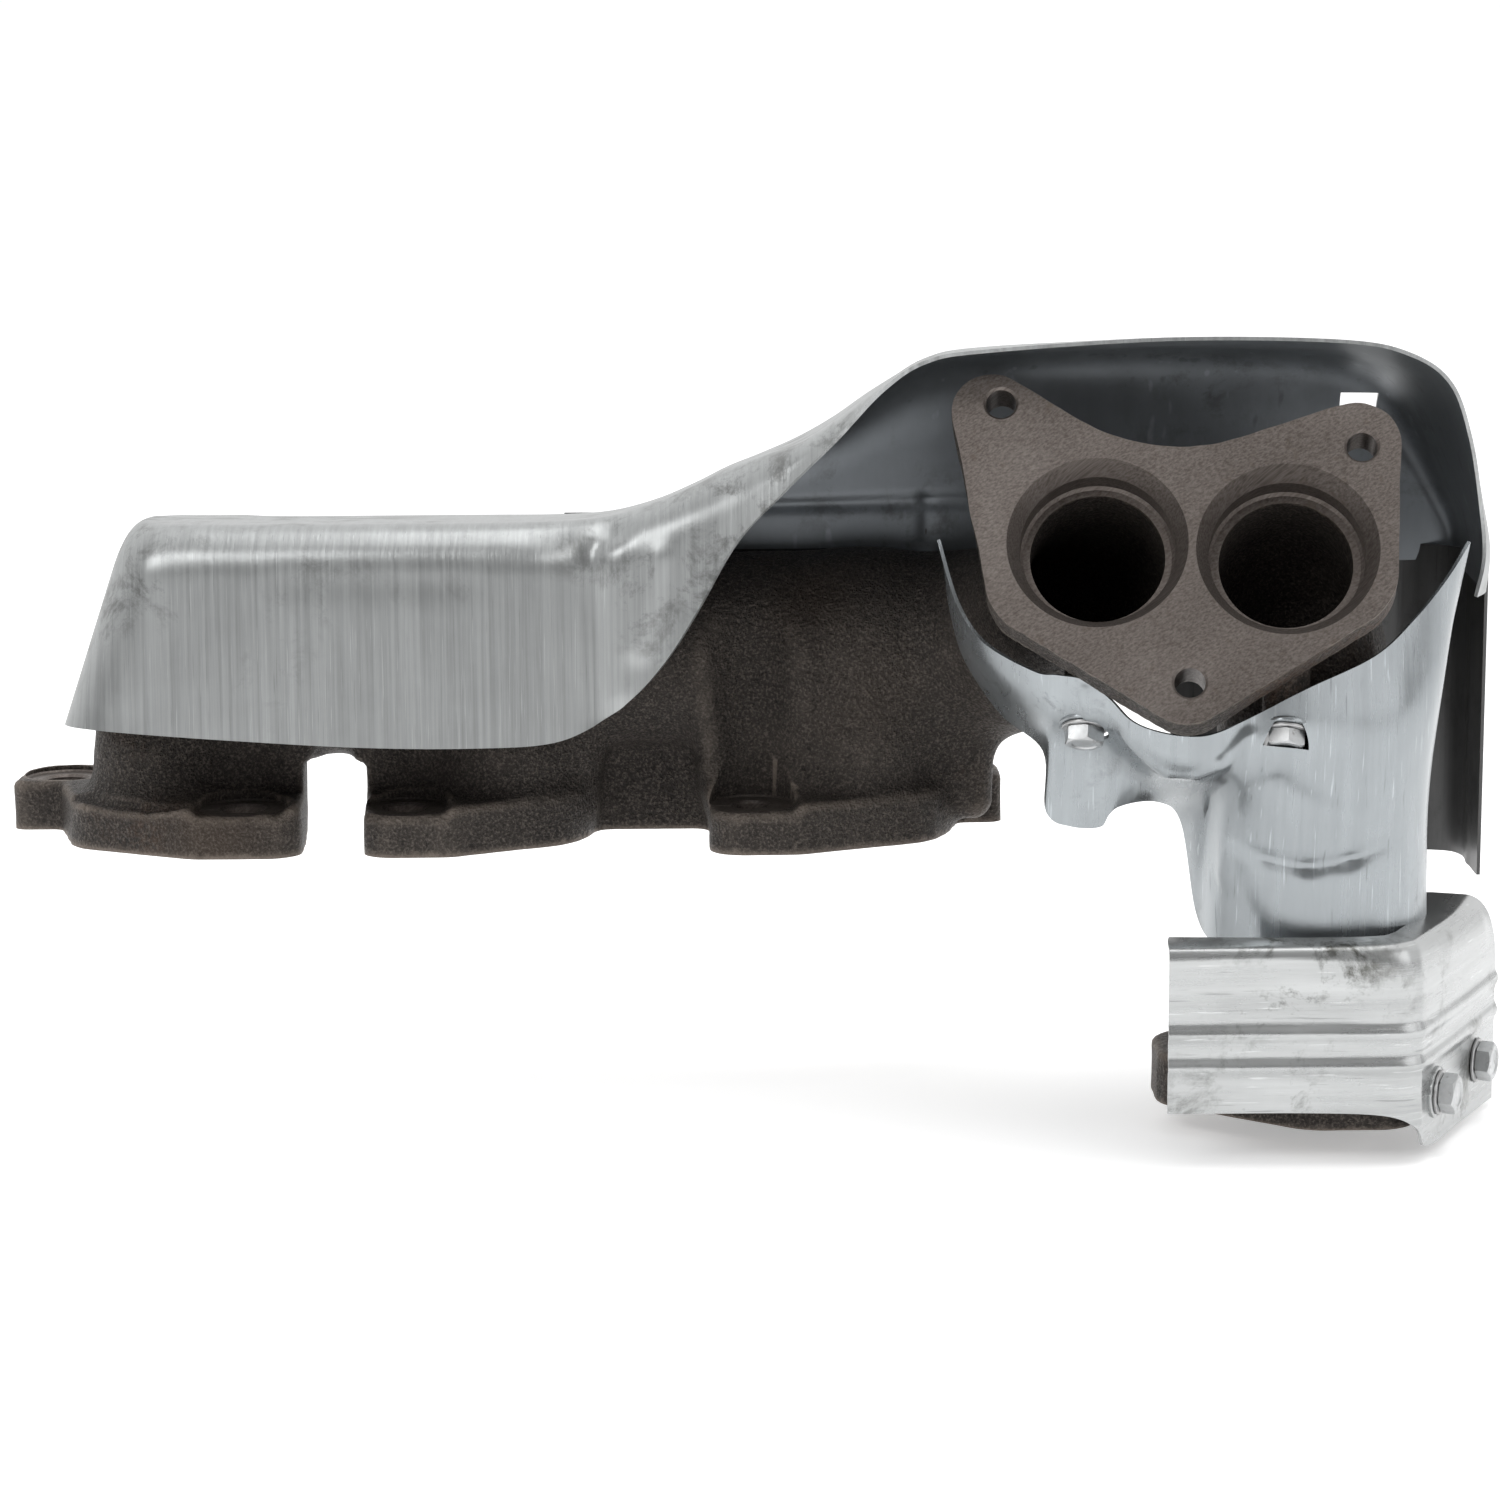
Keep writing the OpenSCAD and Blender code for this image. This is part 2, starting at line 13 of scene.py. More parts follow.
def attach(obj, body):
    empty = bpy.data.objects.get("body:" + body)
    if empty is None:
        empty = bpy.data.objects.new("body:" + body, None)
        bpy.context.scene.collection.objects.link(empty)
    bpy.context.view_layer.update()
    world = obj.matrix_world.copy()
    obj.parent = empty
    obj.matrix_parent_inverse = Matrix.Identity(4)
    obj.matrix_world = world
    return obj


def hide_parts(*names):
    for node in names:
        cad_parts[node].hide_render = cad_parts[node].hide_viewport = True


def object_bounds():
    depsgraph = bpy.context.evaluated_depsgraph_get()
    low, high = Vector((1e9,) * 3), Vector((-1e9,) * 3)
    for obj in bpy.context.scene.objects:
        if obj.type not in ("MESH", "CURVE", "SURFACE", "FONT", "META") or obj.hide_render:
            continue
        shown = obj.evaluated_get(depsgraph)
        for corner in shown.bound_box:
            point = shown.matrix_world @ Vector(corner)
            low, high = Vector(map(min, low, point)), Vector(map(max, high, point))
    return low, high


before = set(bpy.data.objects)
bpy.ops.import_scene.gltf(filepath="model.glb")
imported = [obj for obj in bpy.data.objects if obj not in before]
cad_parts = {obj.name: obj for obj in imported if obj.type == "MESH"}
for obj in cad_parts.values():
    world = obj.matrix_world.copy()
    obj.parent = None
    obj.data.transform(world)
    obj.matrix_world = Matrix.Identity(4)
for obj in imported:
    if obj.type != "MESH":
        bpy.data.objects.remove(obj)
cad_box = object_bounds()
MM = 0.001

# ---------------------------------------------------------------- the camera
PITCH = math.radians(10)
ROLL = math.radians(0.45)
EYE = np.array([72.7, -1055.9, 211.1])
forward = np.array([0, math.cos(PITCH), -math.sin(PITCH)])
right0 = np.array([1.0, 0, 0])
up0 = np.array([0, math.sin(PITCH), math.cos(PITCH)])
right = right0 * math.cos(ROLL) - up0 * math.sin(ROLL)
up = up0 * math.cos(ROLL) + right0 * math.sin(ROLL)

camera = bpy.data.objects.new("camera", bpy.data.cameras.new("camera"))
camera.data.lens = 84.72
camera.data.sensor_width = 36
camera.data.clip_start = 0.01
camera.data.clip_end = 50
turn = Matrix([[*row] for row in np.stack([right, up, -forward], axis=1)]).to_4x4()
camera.matrix_world = Matrix.Translation(Vector(EYE * MM)) @ turn
bpy.context.collection.objects.link(camera)
bpy.context.scene.camera = camera


# ---------------------------------------------------------------- small maths
def rot_z(a):
    """A turn about Z by a degrees."""
    a = math.radians(a)
    return np.array([[math.cos(a), -math.sin(a), 0], [math.sin(a), math.cos(a), 0], [0, 0, 1]])


def rot_x(a):
    """A turn about X by a degrees."""
    a = math.radians(a)
    return np.array([[1, 0, 0], [0, math.cos(a), -math.sin(a)], [0, math.sin(a), math.cos(a)]])


OUTLET_AT = np.array([194.6, -92, 97.3])
OUTLET_TURN = rot_z(-6) @ rot_x(62) @ rot_z(-1.8)


def from_outlet(p):
    """A point in the outlet face's own axes, in the part's."""
    return OUTLET_TURN @ np.array(p, float) + OUTLET_AT


def unit(v):
    v = np.array(v, float)
    return v / np.linalg.norm(v)


def bend(p, steps):
    """Points along the cubic curve with these control points."""
    p = [np.array(q, float) for q in p]
    out = []
    for i in range(steps + 1):
        t = i / steps
        q = list(p)
        while len(q) > 1:
            q = [a + (b - a) * t for a, b in zip(q, q[1:])]
        out.append(q[0])
    return out


def outline(corners, steps=7):
    """An outline from corners given as x, y and a rounding radius."""
    out = []
    n = len(corners)
    for i in range(n):
        at = np.array(corners[i][:2], float)
        a = unit(np.array(corners[i - 1][:2]) - at)
        b = unit(np.array(corners[(i + 1) % n][:2]) - at)
        r = corners[i][2]
        half = math.acos(float(np.clip(a @ b, -1, 1))) / 2
        centre = at + unit(a + b) * r / math.sin(half)
        start = at + a * r / math.tan(half) - centre
        end = at + b * r / math.tan(half) - centre
        first = math.atan2(start[1], start[0])
        sweep = math.atan2(end[1], end[0]) - first
        sweep = (sweep + math.pi) % (2 * math.pi) - math.pi
        for k in range(steps + 1):
            t = first + sweep * k / steps
            out.append(centre + r * np.array([math.cos(t), math.sin(t)]))
    return np.array(out)


# ---------------------------------------------------------------- solids as distances
FAR = 60.0


def smin(a, b, k):
    """The union of two distances, blended over k."""
    h = np.clip(0.5 + 0.5 * (b - a) / k, 0, 1)
    return b * (1 - h) + a * h - k * h * (1 - h)


def smax(a, b, k):
    """The overlap of two distances, blended over k."""
    return -smin(-a, -b, k)


def within(p, low, high, distance, margin=16.0):
    """A distance that is worked out only near its solid's box, and is far elsewhere."""
    low = np.array(low, float) - margin
    high = np.array(high, float) + margin
    near = np.all((p > low) & (p < high), axis=1)
    out = np.full(len(p), FAR, np.float32)
    if near.any():
        out[near] = distance(p[near])
    return out


def cone_of(q, a, b, ra, rb):
    """The distance to a round-ended cone from a to b."""
    ab = b - a
    t = np.clip((q - a) @ ab / (ab @ ab), 0, 1)
    return np.linalg.norm(q - a - t[:, None] * ab, axis=1) - (ra + (rb - ra) * t)


def tube(p, points, ra, rb=None):
    """A round tube along points, tapering from ra to rb."""
    rb = ra if rb is None else rb
    points = [np.array(q, float) for q in points]
    n = len(points) - 1
    out = np.full(len(p), FAR, np.float32)
    for i in range(n):
        r0, r1 = ra + (rb - ra) * i / n, ra + (rb - ra) * (i + 1) / n
        a, b = points[i], points[i + 1]
        r = max(r0, r1)
        low, high = np.minimum(a, b) - r, np.maximum(a, b) + r
        out = np.minimum(out, within(p, low, high, lambda q: cone_of(q, a, b, r0, r1)))
    return out


def rounded(d, r):
    """The distance to a solid that is bounded by each column of d, rounded by r."""
    return np.linalg.norm(np.maximum(d, 0), axis=1) + np.minimum(d.max(axis=1), 0) - r


def slab(p, low, high, r):
    """A box with rounded edges."""
    low, high = np.array(low, float), np.array(high, float)
    centre, half = (low + high) / 2, (high - low) / 2 - r

    def distance(q):
        d = np.abs(q - centre) - half
        return rounded(d, r)

    return within(p, low, high, distance)


def rod(p, a, b, r, edge=1.0):
    """A cylinder from a to b with rounded rims."""
    a, b = np.array(a, float), np.array(b, float)
    length = np.linalg.norm(b - a)
    axis = (b - a) / length

    def distance(q):
        along = (q - a) @ axis
        out = np.linalg.norm(q - a - along[:, None] * axis, axis=1)
        d = np.stack([out - r + edge, np.abs(along - length / 2) - length / 2 + edge], axis=1)
        return rounded(d, edge)

    return within(p, np.minimum(a, b) - r, np.maximum(a, b) + r, distance)


def prism(p, polygon, z0, z1, edge):
    """A plate with this outline from z0 to z1, with rounded edges."""
    low = [*polygon.min(axis=0), z0]
    high = [*polygon.max(axis=0), z1]

    def distance(q):
        x, y = q[:, 0], q[:, 1]
        best = np.full(len(q), 1e9)
        inside = np.zeros(len(q), bool)
        n = len(polygon)
        for i in range(n):
            (ax, ay), (bx, by) = polygon[i], polygon[(i + 1) % n]
            ex, ey = bx - ax, by - ay
            t = np.clip(((x - ax) * ex + (y - ay) * ey) / (ex * ex + ey * ey + 1e-12), 0, 1)
            best = np.minimum(best, (x - ax - t * ex) ** 2 + (y - ay - t * ey) ** 2)
            if ay != by:
                hit = ((ay > y) != (by > y)) & (x < ex * (y - ay) / ey + ax)
                inside ^= hit
        flat = np.where(inside, -1, 1) * np.sqrt(best)
        d = np.stack([flat + edge, np.abs(q[:, 2] - (z0 + z1) / 2) - (z1 - z0) / 2 + edge], axis=1)
        return rounded(d, edge)

    return within(p, low, high, distance)


def mesh_of(field, low, high, step):
    """A quad mesh of the field's surface, sampled on a grid and then drawn onto the surface."""
    low, high = np.array(low, float), np.array(high, float)
    count = np.ceil((high - low) / step).astype(int) + 1
    stride = 4
    coarse = [np.arange(0, c + stride, stride) for c in count]
    grid = np.stack(np.meshgrid(*coarse, indexing="ij"), axis=-1)
    values = field((low + grid.reshape(-1, 3) * step).astype(np.float32)).reshape(grid.shape[:3])
    near = np.abs(values) < stride * step * 1.9
    cells = np.zeros([s - 1 for s in values.shape], bool)
    sx, sy, sz = cells.shape
    for dx, dy, dz in np.ndindex(2, 2, 2):
        cells |= near[dx:dx + sx, dy:dy + sy, dz:dz + sz]

    def spread(a):
        return a.repeat(stride, 0).repeat(stride, 1).repeat(stride, 2)

    dense = np.where(spread(values[:-1, :-1, :-1]) > 0, FAR, -FAR).astype(np.float32)
    where = np.argwhere(spread(cells))
    for i in range(0, len(where), 400000):
        part = where[i:i + 400000]
        dense[part[:, 0], part[:, 1], part[:, 2]] = field((low + part * step).astype(np.float32))
    volume = openvdb.FloatGrid()
    volume.copyFromArray(dense)
    points, faces = volume.convertToQuads(isovalue=0.0)
    points = low + points * step
    faces = faces.astype(np.int64)
    h = 0.25
    for _ in range(2):
        q = points.astype(np.float32)
        k = np.array([[1, -1, -1], [-1, -1, 1], [-1, 1, -1], [1, 1, 1]], np.float32)
        slope = sum(c[None, :] * field(q + c * h)[:, None] for c in k)
        size = np.linalg.norm(slope, axis=1, keepdims=True)
        slope = slope / np.maximum(size, 1e-6)
        points = points - slope * np.clip(field(q), -0.5, 0.5)[:, None] * 0.9
    return points, faces


def new_mesh(name, points, faces):
    """An object from points in millimetres and faces of any size."""
    mesh = bpy.data.meshes.new(name)
    if isinstance(faces, np.ndarray):
        mesh.vertices.add(len(points))
        mesh.vertices.foreach_set("co", (np.asarray(points, np.float32) * MM).ravel())
        mesh.loops.add(faces.size)
        mesh.loops.foreach_set("vertex_index", faces.ravel().astype(np.int32))
        mesh.polygons.add(len(faces))
        mesh.polygons.foreach_set("loop_start", np.arange(0, faces.size, faces.shape[1]))
    else:
        mesh.from_pydata([tuple(float(c) * MM for c in q) for q in points], [], faces)
    mesh.update(calc_edges=True)
    mesh.validate()
    obj = bpy.data.objects.new(name, mesh)
    bpy.context.collection.objects.link(obj)
    return obj


def lathe(name, at, axis, profile, n=64):
    """A closed solid turned about axis through at, from a profile of radius and height."""
    axis = unit(axis)
    side = unit(np.cross(axis, [0, 0, 1] if abs(axis[2]) < 0.9 else [1, 0, 0]))
    other = np.cross(axis, side)
    at = np.array(at, float)
    points, faces = [], []
    rings = []
    for r, h in profile:
        if r < 1e-6:
            rings.append([len(points)])
            points.append(at + axis * h)
            continue
        rings.append(list(range(len(points), len(points) + n)))
        for i in range(n):
            a = 2 * math.pi * i / n
            points.append(at + axis * h + r * (math.cos(a) * side + math.sin(a) * other))
    for low, high in zip(rings, rings[1:]):
        for i in range(n):
            j = (i + 1) % n
            if len(low) == 1 and len(high) > 1:
                faces.append((low[0], high[j], high[i]))
            elif len(high) == 1 and len(low) > 1:
                faces.append((low[i], low[j], high[0]))
            elif len(low) > 1:
                faces.append((low[i], low[j], high[j], high[i]))
    if len(rings[0]) > 1:
        faces.append(tuple(reversed(rings[0])))
    if len(rings[-1]) > 1:
        faces.append(tuple(rings[-1]))
    obj = new_mesh(name, points, faces)
    outward(obj)
    return obj


def block(name, low, high, turn=None, at=(0, 0, 0)):
    """A box, in its own axes if turn and at are given."""
    corners = [(x, y, z) for x in (low[0], high[0]) for y in (low[1], high[1])
               for z in (low[2], high[2])]
    turn = np.eye(3) if turn is None else turn
    points = [turn @ np.array(c, float) + np.array(at, float) for c in corners]
    faces = [(0, 1, 3, 2), (4, 6, 7, 5), (0, 4, 5, 1), (2, 3, 7, 6), (0, 2, 6, 4), (1, 5, 7, 3)]
    obj = new_mesh(name, points, faces)
    outward(obj)
    return obj


@contextmanager
def editing(mesh):
    """A mesh open for editing, written back at the end."""
    bm = bmesh.new()
    bm.from_mesh(mesh)
    yield bm
    bm.to_mesh(mesh)
    bm.free()


def outward(obj):
    """Turns all faces outward."""
    with editing(obj.data) as bm:
        bmesh.ops.recalc_face_normals(bm, faces=bm.faces)


def triangulate(obj):
    """Splits faces of more than four corners, and turns an inside-out mesh round."""
    with editing(obj.data) as bm:
        bmesh.ops.triangulate(bm, faces=[f for f in bm.faces if len(f.verts) > 4])
        if bm.calc_volume(signed=True) < 0:
            bmesh.ops.reverse_faces(bm, faces=bm.faces)


def bake(obj):
    """Turns the modifiers into mesh."""
    depsgraph = bpy.context.evaluated_depsgraph_get()
    mesh = bpy.data.meshes.new_from_object(obj.evaluated_get(depsgraph))
    old = obj.data
    obj.modifiers.clear()
    obj.data = mesh
    bpy.data.meshes.remove(old)


def combine(obj, others, operation="DIFFERENCE"):
    """Cuts or joins solids, and removes them."""
    for other in others:
        mod = obj.modifiers.new("cut", "BOOLEAN")
        mod.operation = operation
        mod.solver = "MANIFOLD"
        mod.object = other
        bake(obj)
        bpy.data.objects.remove(other)


def finish_mesh(obj, angle=32):
    """Smooth shading, with edges over angle kept sharp."""
    for poly in obj.data.polygons:
        poly.use_smooth = True
    obj.data.set_sharp_from_angle(angle=math.radians(angle))


# ---------------------------------------------------------------- the casting
PORTS = [-106, 0, 106]
PORT_R = 16
FRONT_HOLES = [(-78, 6.2), (-30, 6.2), (73, 5)]
REAR_HOLES = [(-140, 6.5), (30, 6.5), (136, 6.5)]
BOLT_Y = 24.5
FRONT_SEAT = 12.9
REAR_SEAT = 13.4
SOCKET_R = 13.3
OUTLET_BORES = (-26, 26)
STUD_R = 4.25
CROSSOVER_Z = -67
SHIELD_HOLE_R = 3.15
SHEET = 1.0
STUDS = [(-54.6, 40.6), (45.4, 30.9), (0.7, -39.8)]
LEG = np.array([232.0, -60.0])
SHELL_START = [-88, 15, 53]
LOG_START = [-92, 15, 53]
LOG_END = [108, 15, 53]


def head_outline(front, rear, margin, shoulder, side, x):
    """The outline of the head flange at x, mirrored if side is -1."""
    corners = [
        (-front - margin, -37.5, 10), (-front + 14, -37.5, 16),
        (shoulder - 9, -19, 16), (shoulder, 10, 4),
        (rear + 14, 10, 4), (rear + 14, 40, 13), (rear - 15, 40, 12), (-14, 27, 20),
        (-front - margin, 6, 12),
    ]
    return outline([(side * cx + x, cy, r) for cx, cy, r in corners][::side])


HEAD_FLANGES = []
for k, port in enumerate(PORTS):
    HEAD_FLANGES.append(head_outline(
        abs(FRONT_HOLES[k][0] - port), abs(REAR_HOLES[k][0] - port),
        18 if k == 0 else 12.5, [33, 27, 30][k], -1 if k == 0 else 1, port))

OUTLET_OUTLINE = outline([
    (-74, 61, 11), (-11, 23.7, 50), (56, 49.6, 12.5), (56, -15, 18),
    (0.7, -54, 13), (-54, -22.5, 18),
], 10)
CROSSOVER_OUTLINE = outline([
    (-42.5, 11.5, 10), (-42.5, -11.5, 10), (-4, -40.5, 16), (26.5, -40.5, 12), (32.5, 0, 30),
    (26.5, 40.5, 12), (-4, 40.5, 16),
]) + LEG

NECK = bend([LOG_END, [160, 15, 53], from_outlet([-26, 0, -62]), from_outlet([-26, 0, -26])], 8)
NECK += [from_outlet([-26, 0, 2])]
LEG_LINE = [from_outlet([26, 0, 2])] + bend(
    [from_outlet([26, 0, -26]), from_outlet([26, 0, -48]), [*LEG, 66], [*LEG, 30]], 7)
LEG_LINE += [np.array([*LEG, -75.0])]

GAP = np.array([[-57, -60], [-41.5, -60], [-45, 60], [-68, 60]], float)
GROOVE = [[-130, -15, 15.3], [-118, -23.5, 14.6], [-105, -29, 14.2], [-96, -31, 15]]
OUT_DIR = OUTLET_TURN @ np.array([0, -1.0, 0])
FACE_DIR = unit([62, -31, 0])
# Where the shield bolts sit, and which way their heads point.
BACKWARD = np.array([0, 1.0, 0])
UPPER_LEFT = (np.array([-72, 29.1, 87.5]), BACKWARD)
UPPER_RIGHT = (np.array([-5, 29.1, 87.5]), BACKWARD)
REAR_LEFT = (np.array([48, 30.3, 88.5]), BACKWARD)
REAR_RIGHT = (np.array([216, 30.3, 47]), BACKWARD)
OUTLET_LEFT = (from_outlet([-27.5, -45.5, -24]), OUT_DIR)
OUTLET_RIGHT = (np.array([219.9, -98.5, 47]), OUT_DIR)
FLANGE_FRONT = (np.array([266, -93.5, -58]), FACE_DIR)
FLANGE_REAR = (np.array([283.3, -59, -58]), FACE_DIR)


def boss(p, place, h, r=6.5):
    """A round boss that ends just under the sheet that its bolt holds."""
    at, way = place
    return rod(p, at - way * (h + 1.3), at - way * 1.3, r)


def waves(p, scale, seed):
    """A soft unevenness, between about -1 and 1."""
    rng = np.random.default_rng(seed)
    out = np.zeros(len(p))
    for _ in range(6):
        way = rng.normal(size=3)
        out += np.sin(p @ (way / np.linalg.norm(way)) * (2 * math.pi / scale) + rng.uniform(0, 6.3))
    return out / 3.5


def passages(p):
    """The hollow inside: ports, log, neck and leg."""
    out = tube(p, [LOG_START, LOG_END], 24)
    for x in PORTS:
        out = smin(out, tube(p, [[x, 0, -6], [x, 0, 20], [x, 15, 53]], PORT_R), 5)
    out = smin(out, tube(p, NECK, 23.5, 18.5), 5)
    return np.minimum(out, tube(p, LEG_LINE, 18.5, 19))


def casting(p):
    """The whole casting as a distance, hollow and with its unevenness."""
    local = (p - OUTLET_AT.astype(np.float32)) @ OUTLET_TURN.astype(np.float32)
    body = tube(p, [SHELL_START, LOG_END], 30.5)
    body = smin(body, tube(p, NECK[:-1], 30.5, 25), 6)
    for x in PORTS:
        at_log = 18 if x < -50 else 24
        body = smin(body, tube(p, [[x, -1, 0], [x, 0, 24], [x, 12, 50]], 21.5, at_log), 14)
    saddle = slab(p, [-121, -9, 4], [-61, 15, 50], 6)
    saddle = np.minimum(saddle, slab(p, [-46, -9, 4], [26, 15, 50], 6))
    saddle = np.minimum(saddle, slab(p, [61, -9, 4], [146, 9, 50], 6))
    body = smin(body, saddle, 9)
    body = smin(body, slab(p, [18, 3.5, -4], [66, 12, 40], 1.5), 5)
    flanges = np.full(len(p), FAR)
    for shape in HEAD_FLANGES:
        flanges = np.minimum(flanges, prism(p, shape, -6, 15, 2.2))
    body = smin(body, flanges, 7)
    for place in (UPPER_LEFT, UPPER_RIGHT, REAR_LEFT):
        x, z = place[0][0], place[0][2]
        body = smin(body, slab(p, [x - 6.5, 12, 66], [x + 6.5, 27.4, z + 6.5], 2.5), 5)
    body = smin(body, boss(p, REAR_RIGHT, 66), 4)
    leg = tube(p, LEG_LINE[1:], 25)
    leg = smin(leg, prism(p, CROSSOVER_OUTLINE, -73, -52, 2), 5)
    leg = smin(leg, boss(p, FLANGE_FRONT, 20, 5.5), 2)
    leg = smin(leg, boss(p, FLANGE_REAR, 24, 5.5), 3)
    body = smin(body, leg, 5)
    plate = prism(local, OUTLET_OUTLINE, -12, 6, 2)
    body = smin(body, plate, 7)
    body = smin(body, boss(p, OUTLET_LEFT, 20), 4)
    body = smin(body, boss(p, OUTLET_RIGHT, 20), 4)
    body = smin(body, slab(p, [59, -18, 14], [87, 8, 62], 9), 14)
    body = smax(body, -slab(p, [30, -16, 6], [56, 1.5, 27], 3), 3)
    # Room for a socket over each front bolt.
    for x, _ in FRONT_HOLES:
        scoop = tube(p, [[x, -BOLT_Y, 28.2], [x, -BOLT_Y, 110]], SOCKET_R)
        body = smax(body, -scoop, 6)
        channel = slab(p, [x - SOCKET_R, -70, FRONT_SEAT], [x + SOCKET_R, -25, 30], 2.5)
        body = smax(body, -channel, 3)
    body = smax(body, -prism(p, GAP, -20, 23.2, 1.5), 1.5)
    body = smax(body, -tube(p, GROOVE, 1.6), 2.5)
    body = body + 0.22 * waves(p, 23, 3) + 0.1 * waves(p, 7, 5)
    body = smax(body, p[:, 1] - 44.9, 1.5)
    return smax(body, -passages(p), 1.5).astype(np.float32)


OUT_N = OUTLET_TURN @ np.array([0, 0, 1.0])


def bore(at, axis, profile, n=72):
    """A cutter turned about axis."""
    return lathe("cutter", at, axis, profile, n)


def hole(at, axis, r, depth, over=8):
    """A plain round cutter, from depth below the surface to over above it."""
    return bore(at, axis, [(r, -depth), (r, over)])


def make_casting():
    """The casting's mesh, with its machined faces, bores and holes cut sharp."""
    step = 1.3
    points, faces = mesh_of(casting, [-160, -122, -80], [292, 52, 152], step)
    obj = new_mesh("casting", points, faces)
    down = [0, 0, -1]
    cutters = [
        block("cutter", [-170, -90, -30], [170, 60, 0]),
        block("cutter", [180, -120, -100], [300, 0, -67]),
        block("cutter", [-90, -70, 0], [80, 80, 40], OUTLET_TURN, OUTLET_AT),
    ]
    for x in OUTLET_BORES:
        at = from_outlet([x, 0, 0])
        cutters.append(bore(at, OUT_N, [
            (20.6, -13), (21.5, -12.1), (21.5, -5.5), (25.0, 0), (25.9, 0.9), (27, 2)], 96))
    for x, y in STUDS:
        cutters.append(bore(from_outlet([x, y, 0]), OUT_N, [
            (STUD_R, -20), (STUD_R, -0.7), (5.0, 0.05), (5.0, 2)], 48))
    for x, r in FRONT_HOLES:
        cutters.append(bore([x, -BOLT_Y, 0], [0, 0, 1], [
            (r, -2), (r, 12.1), (r + 0.8, 12.95), (r + 0.8, 20)], 72))
        cutters.append(bore([x, -BOLT_Y, FRONT_SEAT], [0, 0, 1], [
            (12.2, 0), (12.7, 0.5), (12.7, 15)], 72))
    for x, r in REAR_HOLES:
        cutters.append(bore([x, BOLT_Y, 0], [0, 0, 1], [
            (r, -2), (r, 12.6), (r + 0.8, 13.45), (r + 0.8, 20)], 72))
        cutters.append(bore([x, BOLT_Y, REAR_SEAT], [0, 0, 1], [
            (12, 0), (12.5, 0.5), (12.5, 6)], 72))
    for x in PORTS:
        cutters.append(bore([x, 0, 0], down, [
            (PORT_R, -12), (PORT_R, -0.6), (PORT_R + 0.6, 0.05), (PORT_R + 0.6, 4)], 72))
    for a in (60, 180, 300):
        a = math.radians(a)
        spot = [LEG[0] + 31 * math.cos(a), LEG[1] + 31 * math.sin(a), CROSSOVER_Z]
        cutters.append(hole(spot, down, 5.25, 18, 6))
    cutters.append(bore([*LEG, CROSSOVER_Z], down, [
        (19, -14), (19, -0.6), (19.6, 0.05), (19.6, 4)], 72))
    for place in (UPPER_LEFT, UPPER_RIGHT, REAR_LEFT, REAR_RIGHT, OUTLET_LEFT, OUTLET_RIGHT):
        cutters.append(hole(*place, SHIELD_HOLE_R, 15, 3))
    for place in (FLANGE_FRONT, FLANGE_REAR):
        cutters.append(hole(*place, SHIELD_HOLE_R, 10, 3))
    combine(obj, cutters)
    drop_chips(obj)
    triangulate(obj)
    finish_mesh(obj, 38)
    return obj


def drop_chips(obj):
    """Removes loose crumbs that the cuts leave."""
    mesh = obj.data
    label = np.arange(len(mesh.vertices))
    edges = np.empty(len(mesh.edges) * 2, np.int64)
    mesh.edges.foreach_get("vertices", edges)
    edges = edges.reshape(-1, 2)
    while True:
        before = label.copy()
        low = label[edges].min(axis=1)
        np.minimum.at(label, edges[:, 0], low)
        np.minimum.at(label, edges[:, 1], low)
        label = label[label]
        if (label == before).all():
            break
    names, sizes = np.unique(label, return_counts=True)
    loose = np.flatnonzero(label != names[sizes.argmax()])
    if len(loose):
        with editing(mesh) as bm:
            bm.verts.ensure_lookup_table()
            bmesh.ops.delete(bm, geom=[bm.verts[i] for i in loose], context="VERTS")


